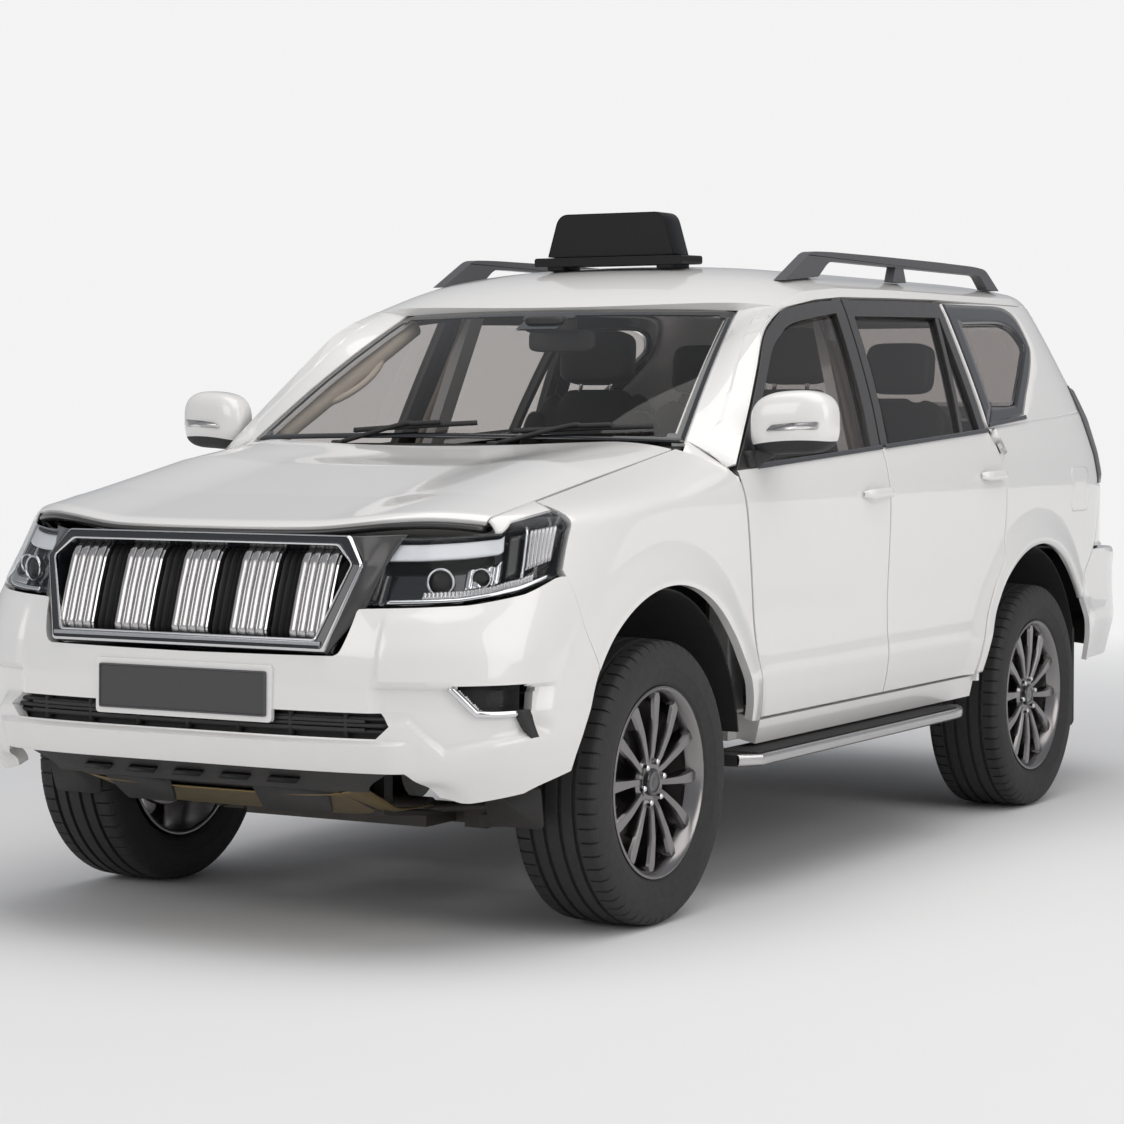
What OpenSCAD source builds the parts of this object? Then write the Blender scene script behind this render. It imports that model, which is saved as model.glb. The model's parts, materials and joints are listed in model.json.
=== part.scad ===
/* [Main sizes] */
// Distance between the front and the rear axle
wheelbase = 2790; // [2700:10:2900]
// Front axle to the foremost point of the bumper
front_overhang = 910; // [880:10:960]
// Rear axle to the rearmost point of the bumper
rear_overhang = 1140; // [1100:10:1200]
// Half of the body's width at its shoulder, without the arch flares
body_half_w = 918; // [900:1:940]
// Height of the roof's crown above the ground
roof_z = 1846; // [1830:1:1870]

/* [Wheels] */
// Half of the distance between the left and right tyre centres
half_track = 792; // [780:1:800]
// Radius of the tyre
tyre_r = 387; // [375:1:392]
// Width of the tyre
tyre_w = 265; // [245:1:275]
// Radius of the rim's outer flange
rim_r = 264; // [255:1:270]
// Number of spoke pairs in each rim
spoke_pairs = 6; // [5:1:7]
// How far the steering axis lies inboard of the tyre's centre
kingpin_in = 86; // [80:1:92]
// Radius of the wheel arches
arch_r = 517; // [510:1:530]
// How far the arch flares stand out of the body side
flare = 23; // [15:1:28]

/* [Panels] */
// Gap between neighbouring panels
panel_gap = 7; // [6:0.5:9]
// Thickness of a door from its skin to its inner trim
door_t = 68; // [60:1:75]
// Thickness of the fenders and quarter panels
wall_t = 28; // [24:1:32]
// Thickness of the roof and the hood
lid_t = 30; // [26:1:34]
// Thickness of the window glass
glass_t = 5; // [4:0.5:6]
// Width of the dark window frames of the doors
frame_w = 52; // [46:1:60]
// Height of the belt line at the front door's front corner
belt_front_z = 1217; // [1205:1:1225]
// Height of the doors' lower edge
door_low_z = 502; // [495:1:520]

/* [Front end] */
// Half of the grille's width at its widest
grille_half_w = 494; // [480:1:500]
// Height of the grille's lower edge
grille_low_z = 792; // [785:1:800]
// Height of the grille's upper edge
grille_top_z = 1064; // [1058:1:1068]
// Number of bright upright bars in the grille
grille_bars = 5; // [3:2:7]
// Number of dark slats between two bright bars
grille_slats = 3; // [2:1:4]

/* [Roof equipment] */
// Distance of the roof rails from the middle of the car
rail_x = 622; // [600:1:635]
// Height of the roof rails' top
rail_top_z = 1888; // [1880:1:1910]
// Width of the roof sign's foot
sign_w = 540; // [480:10:600]
// Height of the roof sign above its foot
sign_h = 165; // [120:5:200]

/* [Hidden] */
kingpin_x = half_track - kingpin_in;
$fn = 64;

// Colours as the photo shows them
paint = "whitesmoke";
dark = [0.16, 0.16, 0.17];
black = [0.06, 0.06, 0.07];
metal = [0.45, 0.46, 0.48];
bright = "silver";
pane = [0.35, 0.36, 0.36, 0.6];
hide = [0.1, 0.09, 0.09];

// Places along the car: it faces -Y, +X is its left side, the ground is z = 0
length = front_overhang + wheelbase + rear_overhang;
nose = -length / 2;
yf = nose + front_overhang;
yr = yf + wheelbase;
tail = length / 2;
axle_z = tyre_r;
arch_yf = yf + 40;
arch_yr = yr + 5;
arch_z = axle_z + 13;
half_gap = panel_gap / 2;
seat_gap = 0.3;

// Shape of the body side: height and half width less body_half_w
side_profile = [
  [330, -66], [420, -44], [500, -26], [560, -12], [625, -4], [700, -11], [800, -12], [950, -5],
  [1080, 0], [1140, 0], [1217, -12], [1300, -38], [1400, -70], [1500, -106], [1600, -145],
  [1700, -186], [1770, -222], [1850, -270]
];
// Shape of the front: height, set-back of the nose, length and fullness of the corner
front_profile = [
  [330, 90, 560, 3.4], [420, 46, 590, 3.5], [490, 8, 600, 3.5], [560, 0, 600, 3.5],
  [700, 4, 600, 3.5], [790, 10, 610, 3.4], [900, 40, 660, 3.0], [1000, 70, 720, 2.7],
  [1070, 104, 745, 2.6], [1130, 130, 760, 2.6], [1300, 200, 760, 2.6]
];
// Shape of the tail: height, set-back of the tail, length and fullness of the corner
tail_profile = [
  [330, 70, 480, 3.4], [480, 14, 510, 3.4], [560, 0, 520, 3.4], [840, 0, 520, 3.4], [872, 16, 520, 3.4],
  [884, 118, 560, 3.2], [1100, 126, 580, 3.2], [1340, 156, 600, 3.2], [1500, 228, 600, 3.1],
  [1700, 322, 590, 3.0], [1790, 366, 580, 3.0], [1900, 420, 580, 3.0]
];
front_arc = 1250;
tail_arc = 1150;

function column(t, i) = [for (r = t) [r[0], r[i]]];
half_col = column(side_profile, 1);
nose_col = column(front_profile, 1);
flen_col = column(front_profile, 2);
fn_col = column(front_profile, 3);
tail_col = column(tail_profile, 1);
tlen_col = column(tail_profile, 2);
tn_col = column(tail_profile, 3);

function ease(t) = let (c = max(0, min(1, t))) c * c * (3 - 2 * c);
function mid(a, b, t) = a + (b - a) * t;
function half_w(z) = body_half_w + lookup(z, half_col);
function front_y0(z) = nose + lookup(z, nose_col) + lookup(z, flen_col);
function tail_y0(z) = tail - lookup(z, tail_col) - lookup(z, tlen_col);
function belt_z(y) = belt_front_z + (y - yf - 469) * 0.048;

// Arch flare: a swelling that fades out over flare_reach from the arch's edge
flare_reach = 130;
function flare_at(y, z, cy) = let (r = norm([y - cy, z - arch_z])) ease(1 - (r - arch_r) / flare_reach);
function flare_x(y, z) = flare * max(flare_at(y, z, arch_yf), flare_at(y, z, arch_yr));

// Edge between hood and fender: height and half width along the car
function hood_edge_z(y) = 1150 + (y - yf + 370) * 0.166;
function hood_edge_x(y) = 742 + (y - yf - 400) * 0.012;
function roll_h(y) = mid(64, 120, (y - yf + 370) / 770);
function roll_x(y, z, x) =
  let (zg = hood_edge_z(y), h = roll_h(y))
  y > yf + 465 || z < zg - h ? 0 : max(0, x - hood_edge_x(y)) * pow(min(1, (z - zg + h) / h), 2.6);

// Point of the body's skin: q runs along the side and round both corners, z is the height
function skin(q, z) =
  let (
    w = half_w(z),
    y1 = front_y0(z), y2 = tail_y0(z),
    fa = min(90, max(0, (y1 - q) / front_arc * 90)),
    ta = min(90, max(0, (q - y2) / tail_arc * 90)),
    fe = 2 / lookup(z, fn_col), te = 2 / lookup(z, tn_col),
    x = fa > 0 ? w * pow(cos(fa), fe) : ta > 0 ? w * pow(cos(ta), te) : w,
    y = fa > 0 ? y1 - lookup(z, flen_col) * pow(sin(fa), fe)
      : ta > 0 ? y2 + lookup(z, tlen_col) * pow(sin(ta), te) : q
  )
  [x + flare_x(y, z) * min(1, x / w) - roll_x(y, z, x), y, z];

// q of the skin's point at a given y, or at a given x on the front or the tail
function at_y(y, z) =
  let (y1 = front_y0(z), y2 = tail_y0(z))
  y < y1 ? y1 - asin(min(1, pow((y1 - y) / lookup(z, flen_col), lookup(z, fn_col) / 2))) / 90 * front_arc
  : y > y2 ? y2 + asin(min(1, pow((y - y2) / lookup(z, tlen_col), lookup(z, tn_col) / 2))) / 90 * tail_arc
  : y;
function at_front_x(x, z) =
  front_y0(z) - acos(min(1, pow(x / half_w(z), lookup(z, fn_col) / 2))) / 90 * front_arc;
function at_tail_x(x, z) =
  tail_y0(z) + acos(min(1, pow(x / half_w(z), lookup(z, tn_col) / 2))) / 90 * tail_arc;

// Grids of points: rows run upwards or inwards, columns run along the panel
function grid_mid(a, b, ts) = [for (t = ts) [for (j = [0 : len(a) - 1]) mid(a[j], b[j], t)]];
function steps(n) = [for (i = [0 : n]) i / n];
function on_body(g) = [for (r = g) [for (p = r) [at_y(p[0], p[1]), p[1]]]];
function skin_normal(p) =
  let (
    c = cross(skin(p[0] + 4, p[1]) - skin(p[0] - 4, p[1]), skin(p[0], p[1] + 4) - skin(p[0], p[1] - 4))
  )
  c / norm(c);
function towards(a, b, d) = let (v = b - a) v * d / max(1e-6, norm(v));
function inset_point(g, i, j, d, wrap) =
  let (n = len(g) - 1, m = len(g[0]) - 1, p = g[i][j])
  p + (i == 0 ? towards(p, g[1][j], d) : i == n ? towards(p, g[n - 1][j], d) : [0, 0])
  + (wrap ? [0, 0] : j == 0 ? towards(p, g[i][1], d) : j == m ? towards(p, g[i][m - 1], d) : [0, 0]);
function plan_normal(p) =
  let (d = skin(p[0] + 4, p[1]) - skin(p[0] - 4, p[1]), n = [d[1], -d[0], 0]) n / norm(n);
function turn(g) = [for (j = [0 : len(g[0]) - 1]) [for (i = [0 : len(g) - 1]) g[i][j]]];

function tangent(g, i, j, di, dj, wrap) =
  let (
    n = len(g) - 1, m = len(g[0]) - 1,
    i1 = min(n, i + di), i0 = max(0, i - di),
    j1 = wrap ? (j + dj) % (m + 1) : min(m, j + dj),
    j0 = wrap ? (j - dj + m + 1) % (m + 1) : max(0, j - dj),
    d = g[i1][j1] - g[i0][j0]
  )
  d / max(1e-6, norm(d));
function inner_point(g, i, j, depth, inset, wrap) =
  let (
    u = tangent(g, i, j, 0, 1, wrap), v = tangent(g, i, j, 1, 0, false),
    c = cross(u, v), n = c / max(1e-6, norm(c)),
    du = wrap ? 0 : j == 0 ? inset : j == len(g[0]) - 1 ? -inset : 0,
    dv = i == 0 ? inset : i == len(g) - 1 ? -inset : 0
  )
  g[i][j] - n * depth + u * du + v * dv;

// Solid between an outer and an inner grid
module shell(g, inner, wrap = false) {
  n = len(g);
  m = len(g[0]);
  last = wrap ? m - 1 : m - 2;
  points = concat([for (r = g) each r], [for (r = inner) each r]);
  function o(i, j) = i * m + j % m;
  function k(i, j) = n * m + o(i, j);
  function quad(a, b, c, d) = [[a, b, c], [a, c, d]];
  faces = concat(
    [for (i = [0 : n - 2], j = [0 : last])
      each quad(o(i, j), o(i + 1, j), o(i + 1, j + 1), o(i, j + 1))],
    [for (i = [0 : n - 2], j = [0 : last])
      each quad(k(i, j), k(i, j + 1), k(i + 1, j + 1), k(i + 1, j))],
    [for (j = [0 : last]) each quad(o(0, j), o(0, j + 1), k(0, j + 1), k(0, j))],
    [for (j = [0 : last])
      each quad(o(n - 1, j), k(n - 1, j), k(n - 1, j + 1), o(n - 1, j + 1))],
    wrap ? [] : [for (i = [0 : n - 2]) each quad(o(i, 0), k(i, 0), k(i + 1, 0), o(i + 1, 0))],
    wrap ? [] : [for (i = [0 : n - 2])
      each quad(o(i, m - 1), o(i + 1, m - 1), k(i + 1, m - 1), k(i, m - 1))]
  );
  polyhedron(points, faces, convexity = 6);
}

// Sheet: the grid is its outer face, depth its thickness, inset the slope of its edges
module sheet(g, depth, inset = 0, wrap = false) {
  shell(g, [for (i = [0 : len(g) - 1]) [for (j = [0 : len(g[0]) - 1])
    inner_point(g, i, j, depth, inset, wrap)]], wrap);
}

// The same on the body's skin: the grid holds q and z, sink is the depth of its outer face
module skin_sheet(g, depth, sink = 0, inset = 0, wrap = false) {
  inner = [for (i = [0 : len(g) - 1]) [for (j = [0 : len(g[0]) - 1]) inset_point(g, i, j, inset, wrap)]];
  shell(
    [for (r = g) [for (p = r) skin(p[0], p[1]) - sink * skin_normal(p)]],
    [for (r = inner) [for (p = r) skin(p[0], p[1]) - (sink + depth) * skin_normal(p)]], wrap);
}

// Both sides of the car
module pair() {
  children();
  mirror([1, 0, 0]) children();
}

// A profile drawn in (y, z) and carried along x
module across(x0, x1) {
  translate([x0, 0, 0]) rotate([90, 0, 90]) linear_extrude(x1 - x0) children();
}

// A round bar between two points
module rod(a, b, r) {
  d = b - a;
  translate(a)
    rotate([0, acos(d[2] / norm(d)), atan2(d[1], d[0])])
      cylinder(r = r, h = norm(d));
}

// Box from its low to its high corner
module block(a, b) {
  translate(a) cube(b - a);
}

// Door lines: front edge, edge between the doors and rear edge, from the sill up to the belt
door_top = 1736;
front_edge = [
  [yf + 644, door_low_z], [yf + 596, 702], [yf + 553, 916], [yf + 502, 1138], [yf + 469, belt_front_z]
];
mid_edge_y = yf + 1520;
mid_edge = [
  [mid_edge_y, door_low_z], [mid_edge_y, 702], [mid_edge_y, 916], [mid_edge_y - 5, 1138],
  [mid_edge_y - 14, belt_z(mid_edge_y)]
];
door_arch_r = arch_r + 46;
function door_arch(z) = [arch_yr - sqrt(door_arch_r * door_arch_r - pow(z - arch_z, 2)), z];
rear_edge = [
  door_arch(door_low_z), door_arch(640), door_arch(760), [yr - 326, 870], [yr - 296, 980],
  [yr - 296, 1130], [yr - 318, 1240], [yr - 366, belt_z(yr - 366)]
];
rear_top_z = belt_z(yr - 366);
mid_top_z = belt_z(mid_edge_y);
mid_edge_8 = [for (p = rear_edge)
  let (z = mid(door_low_z, mid_top_z, (p[1] - door_low_z) / (rear_top_z - door_low_z)))
  [mid_edge_y - 14 * ease((z - 1000) / 300), z]];

// Window lines: outline of each door's frame from its front foot over the top to its rear foot
mid_frame_y = yf + 1585;
front_frame = [
  [yf + 469, belt_front_z], [yf + 578, 1312], [yf + 694, 1412], [yf + 805, 1508], [yf + 915, 1603],
  [yf + 1010, 1651], [yf + 1131, 1692], [yf + 1380, 1722], [mid_frame_y, door_top]
];
rear_frame_top = [yr - 397, door_top + 14];

function shift(p, d) = [for (q = p) q + d];

// Lower part of a door: the skin between two edges
module door_slab(a, b, cols) {
  g = turn(grid_mid(shift(a, [half_gap, 0]), shift(b, [-half_gap, 0]), steps(cols)));
  skin_sheet(g, door_t, inset = 16);
}

// Strip of a window frame along a line of points, width measured down and inwards
module frame_strip(outer, inner) {
  skin_sheet(grid_mid(inner, outer, steps(2)), 34, sink = 3, inset = 4);
}

belt_sink = 40;
pane_sink = 16;
// Lip inside a window's lower edge, on which the pane stands
module pane_lip(a, b, low, high) {
  skin_sheet([[a - [0, low], b - [0, low]], [a + [0, high], b + [0, high]]], 12, sink = pane_sink + glass_t + seat_gap);
}
front_pane_foot = [[yf + 620, 1250], [mid_edge_y - 92, 1276]];
rear_pane_foot = [[mid_edge_y + 62, 1277], [yr - 440, 1318]];
front_outer = concat(
  [[yf + 469 + 30, belt_front_z - belt_sink]],
  [for (i = [0 : 7]) front_frame[i] + [half_gap * 0.7, -half_gap * 0.7]],
  [[mid_frame_y - half_gap, door_top - half_gap]]
);
front_inner = concat(
  [[yf + 469 + 130, belt_front_z - belt_sink + 4]],
  [[yf + 469 + 132, belt_front_z + 14], [yf + 650, 1318], [yf + 748, 1404], [yf + 850, 1490], [yf + 948, 1568],
   [yf + 1038, 1611], [yf + 1150, 1648], [yf + 1385, 1677], [yf + 1532, 1690]]
);
// Rear post of the front door's frame
front_post = [
  [mid_edge_y - 10, 1215], [mid_edge_y - 14, mid_top_z], [mid_edge_y + 14, 1400], [mid_edge_y + 45, 1580],
  [mid_frame_y, door_top]
];
rear_post = [[yr - 372, 1270], [yr - 384, 1440], [yr - 392, 1600], rear_frame_top];

module front_door() {
  color(paint) {
    union() {
      door_slab(front_edge, mid_edge, 8);
      frame_strip(front_outer, front_inner);
      skin_sheet(turn(grid_mid(
        shift(front_post, [-half_gap - frame_w - 18, 0]), shift(front_post, [-half_gap, 0]), steps(1))),
         32, sink = 4, inset = 4);
      pane_lip(front_pane_foot[0] + [20, 0], front_pane_foot[1] - [10, 0], 60, 12);
    }
  }
}

rear_outer = [
  [mid_frame_y + panel_gap - 1, door_top - half_gap], [yf + 1990, door_top + 8 - half_gap],
  [yr - 397 - half_gap, door_top + 14 - half_gap]
];
rear_inner = shift(rear_outer, [0, -frame_w]);
division = [[yr - 592, 1290], [yr - 524, 1510], [yr - 461, 1712]];

module rear_door() {
  color(paint) {
    union() {
      door_slab(mid_edge_8, rear_edge, 8);
      frame_strip(rear_outer, rear_inner);
      skin_sheet(turn(grid_mid(
        shift(front_post, [panel_gap - 1, 0]), shift(front_post, [panel_gap - 1 + frame_w, 0]), steps(1))),
         32, sink = 4, inset = 4);
      skin_sheet(turn(grid_mid(
        shift(rear_post, [-half_gap - frame_w, 0]), shift(rear_post, [-half_gap, 0]), steps(1))),
         32, sink = 4, inset = 4);
      skin_sheet(turn(grid_mid(
        shift(division, [-14, 0]), shift(division, [14, 0]), steps(1))), 20, sink = 5);
      pane_lip(rear_pane_foot[0] + [10, 0], rear_pane_foot[1] - [4, 0], 50, 12);
    }
  }
}

// Panes between the frames, their edges a small gap from what holds them
pane_gap = 9;
module front_glass() {
  a = [front_pane_foot[0], [yf + 690, 1346], [yf + 776, 1421], [yf + 982, 1578], [yf + 1150, 1636]];
  b = [front_pane_foot[1], [mid_edge_y - 74, 1390], [mid_edge_y - 58, 1490], [mid_edge_y - 40, 1600],
       [mid_edge_y - 28, 1677]];
  color(pane) skin_sheet(turn(grid_mid(a, b, steps(5))), glass_t, sink = pane_sink);
}
module rear_glass() {
  a = [rear_pane_foot[0], [mid_edge_y + 88, 1440], [mid_edge_y + 108, 1560], [mid_edge_y + 126, 1673]];
  b = [[yr - 610, 1306], [yr - 568, 1440], [yr - 531, 1560], [yr - 493, 1679]];
  c = [[yr - 562, 1310], [yr - 536, 1400], [yr - 505, 1500], [yr - 474, 1600]];
  d = [rear_pane_foot[1], [yr - 446, 1400], [yr - 451, 1500], [yr - 457, 1600]];
  color(pane) {
    skin_sheet(turn(grid_mid(a, b, steps(4))), glass_t, sink = pane_sink);
    skin_sheet(turn(grid_mid(c, d, steps(1))), glass_t, sink = pane_sink);
  }
}

module front_door_left() { front_door(); }
module front_door_right() { mirror([1, 0, 0]) front_door(); }
module rear_door_left() { rear_door(); }
module rear_door_right() { mirror([1, 0, 0]) rear_door(); }
module front_glass_left() { front_glass(); }
module front_glass_right() { mirror([1, 0, 0]) front_glass(); }
module rear_glass_left() { rear_glass(); }
module rear_glass_right() { mirror([1, 0, 0]) rear_glass(); }

// Door mirror: a shell on a foot that stands on the front corner of the window
mirror_at = [1010, yf + 630, 1350];
mirror_foot_z = 1228;
module door_mirror() {
  color(paint) {
    hull() {
      translate(mirror_at + [-75, 0, 0]) scale([0.5, 0.85, 1]) sphere(r = 84, $fn = 24);
      translate(mirror_at + [62, 22, -6]) scale([0.6, 0.75, 1]) sphere(r = 72, $fn = 24);
    }
    hull() {
      translate([half_w(mirror_foot_z) - 2.8, yf + 540, mirror_foot_z]) cube([10, 84, 40]);
      translate(mirror_at + [-66, 0, -52]) sphere(r = 20, $fn = 16);
    }
  }
}
module mirror_left() { door_mirror(); }
module mirror_right() { mirror([1, 0, 0]) door_mirror(); }

// Front fender: a ring of skin round the wheel arch, up to the hood and the door
function arch_point(cy, a, r) = [cy + r * cos(a), arch_z + r * sin(a)];
fender_angles = [142, 134, 124, 114, 104, 94, 84, 74, 64, 54, 44, 34, 22, 11.5];
fender_outer = [
  [yf - 462, 985], [yf - 420, 1062], [yf - 366, 1140], [yf - 280, 1160], [yf - 150, 1182], [yf - 20, 1203],
  [yf + 110, 1225], [yf + 250, 1249], [yf + 400, 1272], [yf + 463, 1218], [yf + 496, 1138],
  [yf + 547, 916], [yf + 590, 702], [yf + 638, door_low_z - 2]
];
module fender() {
  edge = [for (p = fender_outer) p - [half_gap * 0.6, half_gap]];
  arch = [for (a = fender_angles) arch_point(arch_yf, a, arch_r)];
  union() {
    skin_sheet(on_body(grid_mid(arch, edge, [0, 0.16, 0.4, 0.64, 0.8, 0.9, 1])), wall_t, inset = 8);
    block([post_x[1] + seat_gap, yf + 508, 880], [890, yf + 532, 930]);
  }
}
module front_fenders() {
  color(paint) pair() fender();
}

// Tailgate: half width, lower edge, foot of its window frame and top
gate_half_w = 636;
gate_low_z = 886;
gate_sill_z = 1330;
gate_top_z = 1744;
// Hinge of the tailgate: its axis, and the knuckle between the two lugs of the body
gate_axis = [-gate_half_w - 3, tail - 174];
gate_knuckle_r = 10;
gate_knuckle_z = [1020, 1060];

// Quarter panel: a ring round the rear arch, with the pillar frame of the side window above it
quarter_angles = [168, 160, 151, 142, 134, 126, 118, 110, 101, 91, 81, 71, 60, 49, 36];
quarter_outer = [
  [arch_yr - door_arch_r + 16, door_low_z], [yr - 512, 600], [yr - 461, 699], [yr - 388, 796], [yr - 319, 872],
  [yr - 290, 980], [yr - 290, 1130], [yr - 310, 1240], [yr - 360, 1318], [yr - 20, 1335], [yr + 320, 1352],
  [yr + 655, 1372], [yr + 668, 1240], [yr + 668, 1106], [yr + 610, 902]
];
window_inner = [
  [yr - 276, 1392], [yr - 280, 1540], [yr - 283, 1674], [yr - 60, 1682], [yr + 77, 1683], [yr + 150, 1672],
  [yr + 205, 1652], [yr + 240, 1606], [yr + 205, 1573], [yr + 158, 1540], [yr + 100, 1498], [yr + 35, 1452],
  [yr - 45, 1396], [yr - 150, 1391]
];
function gate_edge_x(z) = gate_half_w - 10 - 46 * (z - gate_sill_z) / (gate_top_z - gate_sill_z);
function gate_side(z) = [skin(at_tail_x(gate_edge_x(z) + panel_gap + 12, z), z)[1], z];
window_outer = [
  [yr - 360, 1322.4], [yr - 376, 1540], [yr - 388, 1742], [yr - 60, 1748], [yr + 140, 1750], [yr + 300, 1750],
  [yr + 480, 1748], gate_side(1742), gate_side(1610), gate_side(1480), [yr + 640, 1478],
  [yr + 630, 1375.2], [yr + 320, 1356.4], [yr - 20, 1339.4]
];
module quarter() {
  edge = [for (p = quarter_outer) p + [half_gap * 0.5, half_gap]];
  arch = [for (a = quarter_angles) arch_point(arch_yr, a, arch_r)];
  ring = [for (p = window_outer) p + [p[0] < yr + 650 ? half_gap : 0, 0]];
  skin_sheet(on_body(grid_mid(arch, edge, [0, 0.16, 0.4, 0.7, 1])), wall_t, inset = 8);
  skin_sheet(on_body(grid_mid(window_inner, ring, steps(3))), wall_t - 5, wrap = true);
  pane_lip([yr - 250, 1396], [yr - 60, 1396], 20, 16);
}
module quarter_panels() {
  color(paint) pair() quarter();
}
module quarter_windows() {
  g = grid_mid(
    [for (p = [0, 13, 12, 11, 10, 9]) window_inner[p] + [p == 0 ? pane_gap : 0, pane_gap]],
    [for (p = [2, 3, 4, 5, 6, 7]) window_inner[p] + [p == 2 ? pane_gap : p == 7 ? -pane_gap : 0, -pane_gap]],
    steps(2));
  color(pane) pair() skin_sheet(g, glass_t, sink = pane_sink);
}

// Side frame behind the doors: sill, hinge post, windscreen pillar and centre post
hood_back = yf + 396;
hood_pivot = [0, hood_back - 2, 1254];
hood_pin_r = 6;
post_sink = door_t + 34;
post_x = [half_w(1100) - post_sink - 60, half_w(1100) - post_sink];
sill_low_z = 426;
module side_frame() {
  sill = [sill_low_z, 460, door_low_z - panel_gap];
  union() {
    sheet([for (z = sill) [for (t = steps(6)) [half_w(z), mid(yf + 646, yr - 516, t), z]]], 120);
    block([half_w(500) - 40, yr - 538, 480], [half_w(500) + 18, yr - 518, door_low_z + half_gap + 1.2]);
    block([post_x[0], yf + 590, sill_low_z + 10], [post_x[1], yf + 690, 1240]);
    block([post_x[0] + 14, mid_edge_y - 66, sill_low_z + 10], [post_x[1], mid_edge_y + 40, 1250]);
    for (y = [mid_edge_y - 60, mid_edge_y + 18])
      block([post_x[1] - 5, y, 930], [half_w(950) - door_t - 5 * seat_gap, y + 20, 970]);
    block([post_x[0], yf + 505, 870], [post_x[1], yf + 600, 940]);
    hood_lug();
    sheet([for (t = [0, 0.2, 1]) let (z = mid(1220, 1738, t)) [for (s = [-1, 1])
      [half_w(z) - mid(post_sink + 2, 64, max(0, t - 0.2) / 0.8), mid_edge_y - 10 + 78 * t + 40 * s, z]]], 34);
    pillar();
  }
}
screen_low = [744, yf + 470, 1296];
screen_top = [592, yf + 1106, 1688];
screen_bow = 150;
function screen_point(s, t) =
  let (a = mid(screen_low, screen_top, t), bow = mid(screen_bow, 72, t) * (1 - s * s))
  [s * (a[0] - 4), a[1] - bow - 12, a[2] + 16 * sin(180 * t) + bow * 0.08];
pillar_count = 6;
module pillar() {
  outer = [for (i = [0 : pillar_count]) let (p = front_frame[i] + (i == pillar_count ? [-40, -6] : [-10, 13]))
    skin(p[0], p[1]) - [5, 0, 0]];
  inner = [for (i = [0 : pillar_count])
    let (t = (front_frame[i][0] - yf - 469) / (front_frame[pillar_count][0] - yf - 469))
    mid(screen_low, screen_top, t) + [8, 0, 12 * sin(180 * t)]];
  middle = [for (i = [0 : pillar_count]) mid(inner[i], outer[i], 0.55) + [6, -6, 10]];
  sheet(turn([inner, middle, outer]), 22, inset = 16);
  block([post_x[0], yf + 476, 1130], [post_x[1], yf + 600, 1270]);
  sheet([for (t = steps(5))
    let (
      a = screen_point(0.75, t), b = screen_point(1, t),
      c = cross(b - a, screen_top - screen_low), n = c / norm(c)
    )
    [for (k = [0.82, 1.12]) mid(a, b, k) - n * (glass_t + 1 + 2 * seat_gap)]], 10);
}
// Lug that carries the hood's hinge pin
module hood_lug() {
  at = hood_pivot;
  difference() {
    union() {
      rod([698, at[1], at[2]], [710, at[1], at[2]], 8.5);
      block([698, at[1] - 8, 1200], [710, at[1] + 8, at[2]]);
      block([698, at[1] - 8, 1180], [post_x[0] + 10, yf + 500, 1214]);
    }
    rod([680, at[1], at[2]], [740, at[1], at[2]], hood_pin_r + seat_gap);
  }
}
module side_frames() {
  color(paint) pair() side_frame();
}

sign_y = yf + 1420;
// Roof: a crowned sheet, its sides following the door tops
function roof_line(y) = roof_z - 113 * pow(max(0, (yf + 1560 - y) / 520), 1.9)
  - 40 * pow(max(0, (y - yr - 100) / 700), 2);
roof_edge = [
  [yf + 1020, 1708], [yf + 1100, 1722], [yf + 1330, 1750], [yf + 1585, 1767], [yf + 1990, 1774],
  [yr + 300, 1776], [yr + 800, 1772]
];
function roof_edge_z(y) = lookup(y, roof_edge);
function roof_edge_x(y) = half_w(roof_edge_z(y)) - 76 * pow(max(0, (y - yr - 300) / 486), 2);
function roof_at(x, y) =
  let (s = min(1, abs(x) / roof_edge_x(y)))
  roof_line(y) - (roof_line(y) - roof_edge_z(y)) * (0.45 * s * s + 0.55 * pow(s, 7));
roof_front = yf + 1100;
roof_back = yr + 786;
function roof_bow(s) = -72 * (1 - s * s);
module roof_panel() {
  stations = concat(
    [for (t = [0, 0.03, 0.07]) mid(roof_front, roof_back, t)],
    [for (d = [-60, -30, 0, 30, 60, 100]) sign_y + d],
    [for (t = [0.22, 0.3, 0.4, 0.5, 0.7, 0.78, 0.85, 0.94, 1]) mid(roof_front, roof_back, t)]);
  half = [0.2, 0.4, 0.6, 0.75, 0.86, 0.9, 0.94, 1];
  cols = concat([for (i = [len(half) - 1 : -1 : 0]) -half[i]], [0], half);
  g = [for (y0 = stations) [for (s = cols)
    let (y = y0 + roof_bow(s) * ease(1 - (y0 - roof_front) / 500), x = s * roof_edge_x(y)) [x, y, roof_at(x, y)]]];
  color(paint) union() {
    sheet(g, lid_t, inset = 4);
    pair() block([618, mid_edge_y + 45, 1738 + seat_gap], [645, mid_edge_y + 95, 1778]);
  }
}

// Windscreen: bowed pane between the cowl and the roof
module windshield() {
  cols = [-1, -0.75, -0.5, -0.25, 0, 0.25, 0.5, 0.75, 1];
  g = [for (t = steps(5)) [for (s = cols)
    screen_point(s, t)]];
  color(pane) sheet(g, glass_t + 1);
}

// Hood: raised shoulders with a wide shallow recess between them
hood_front_half = 726;
hood_bow = 150;
hood_t = 20;
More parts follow.
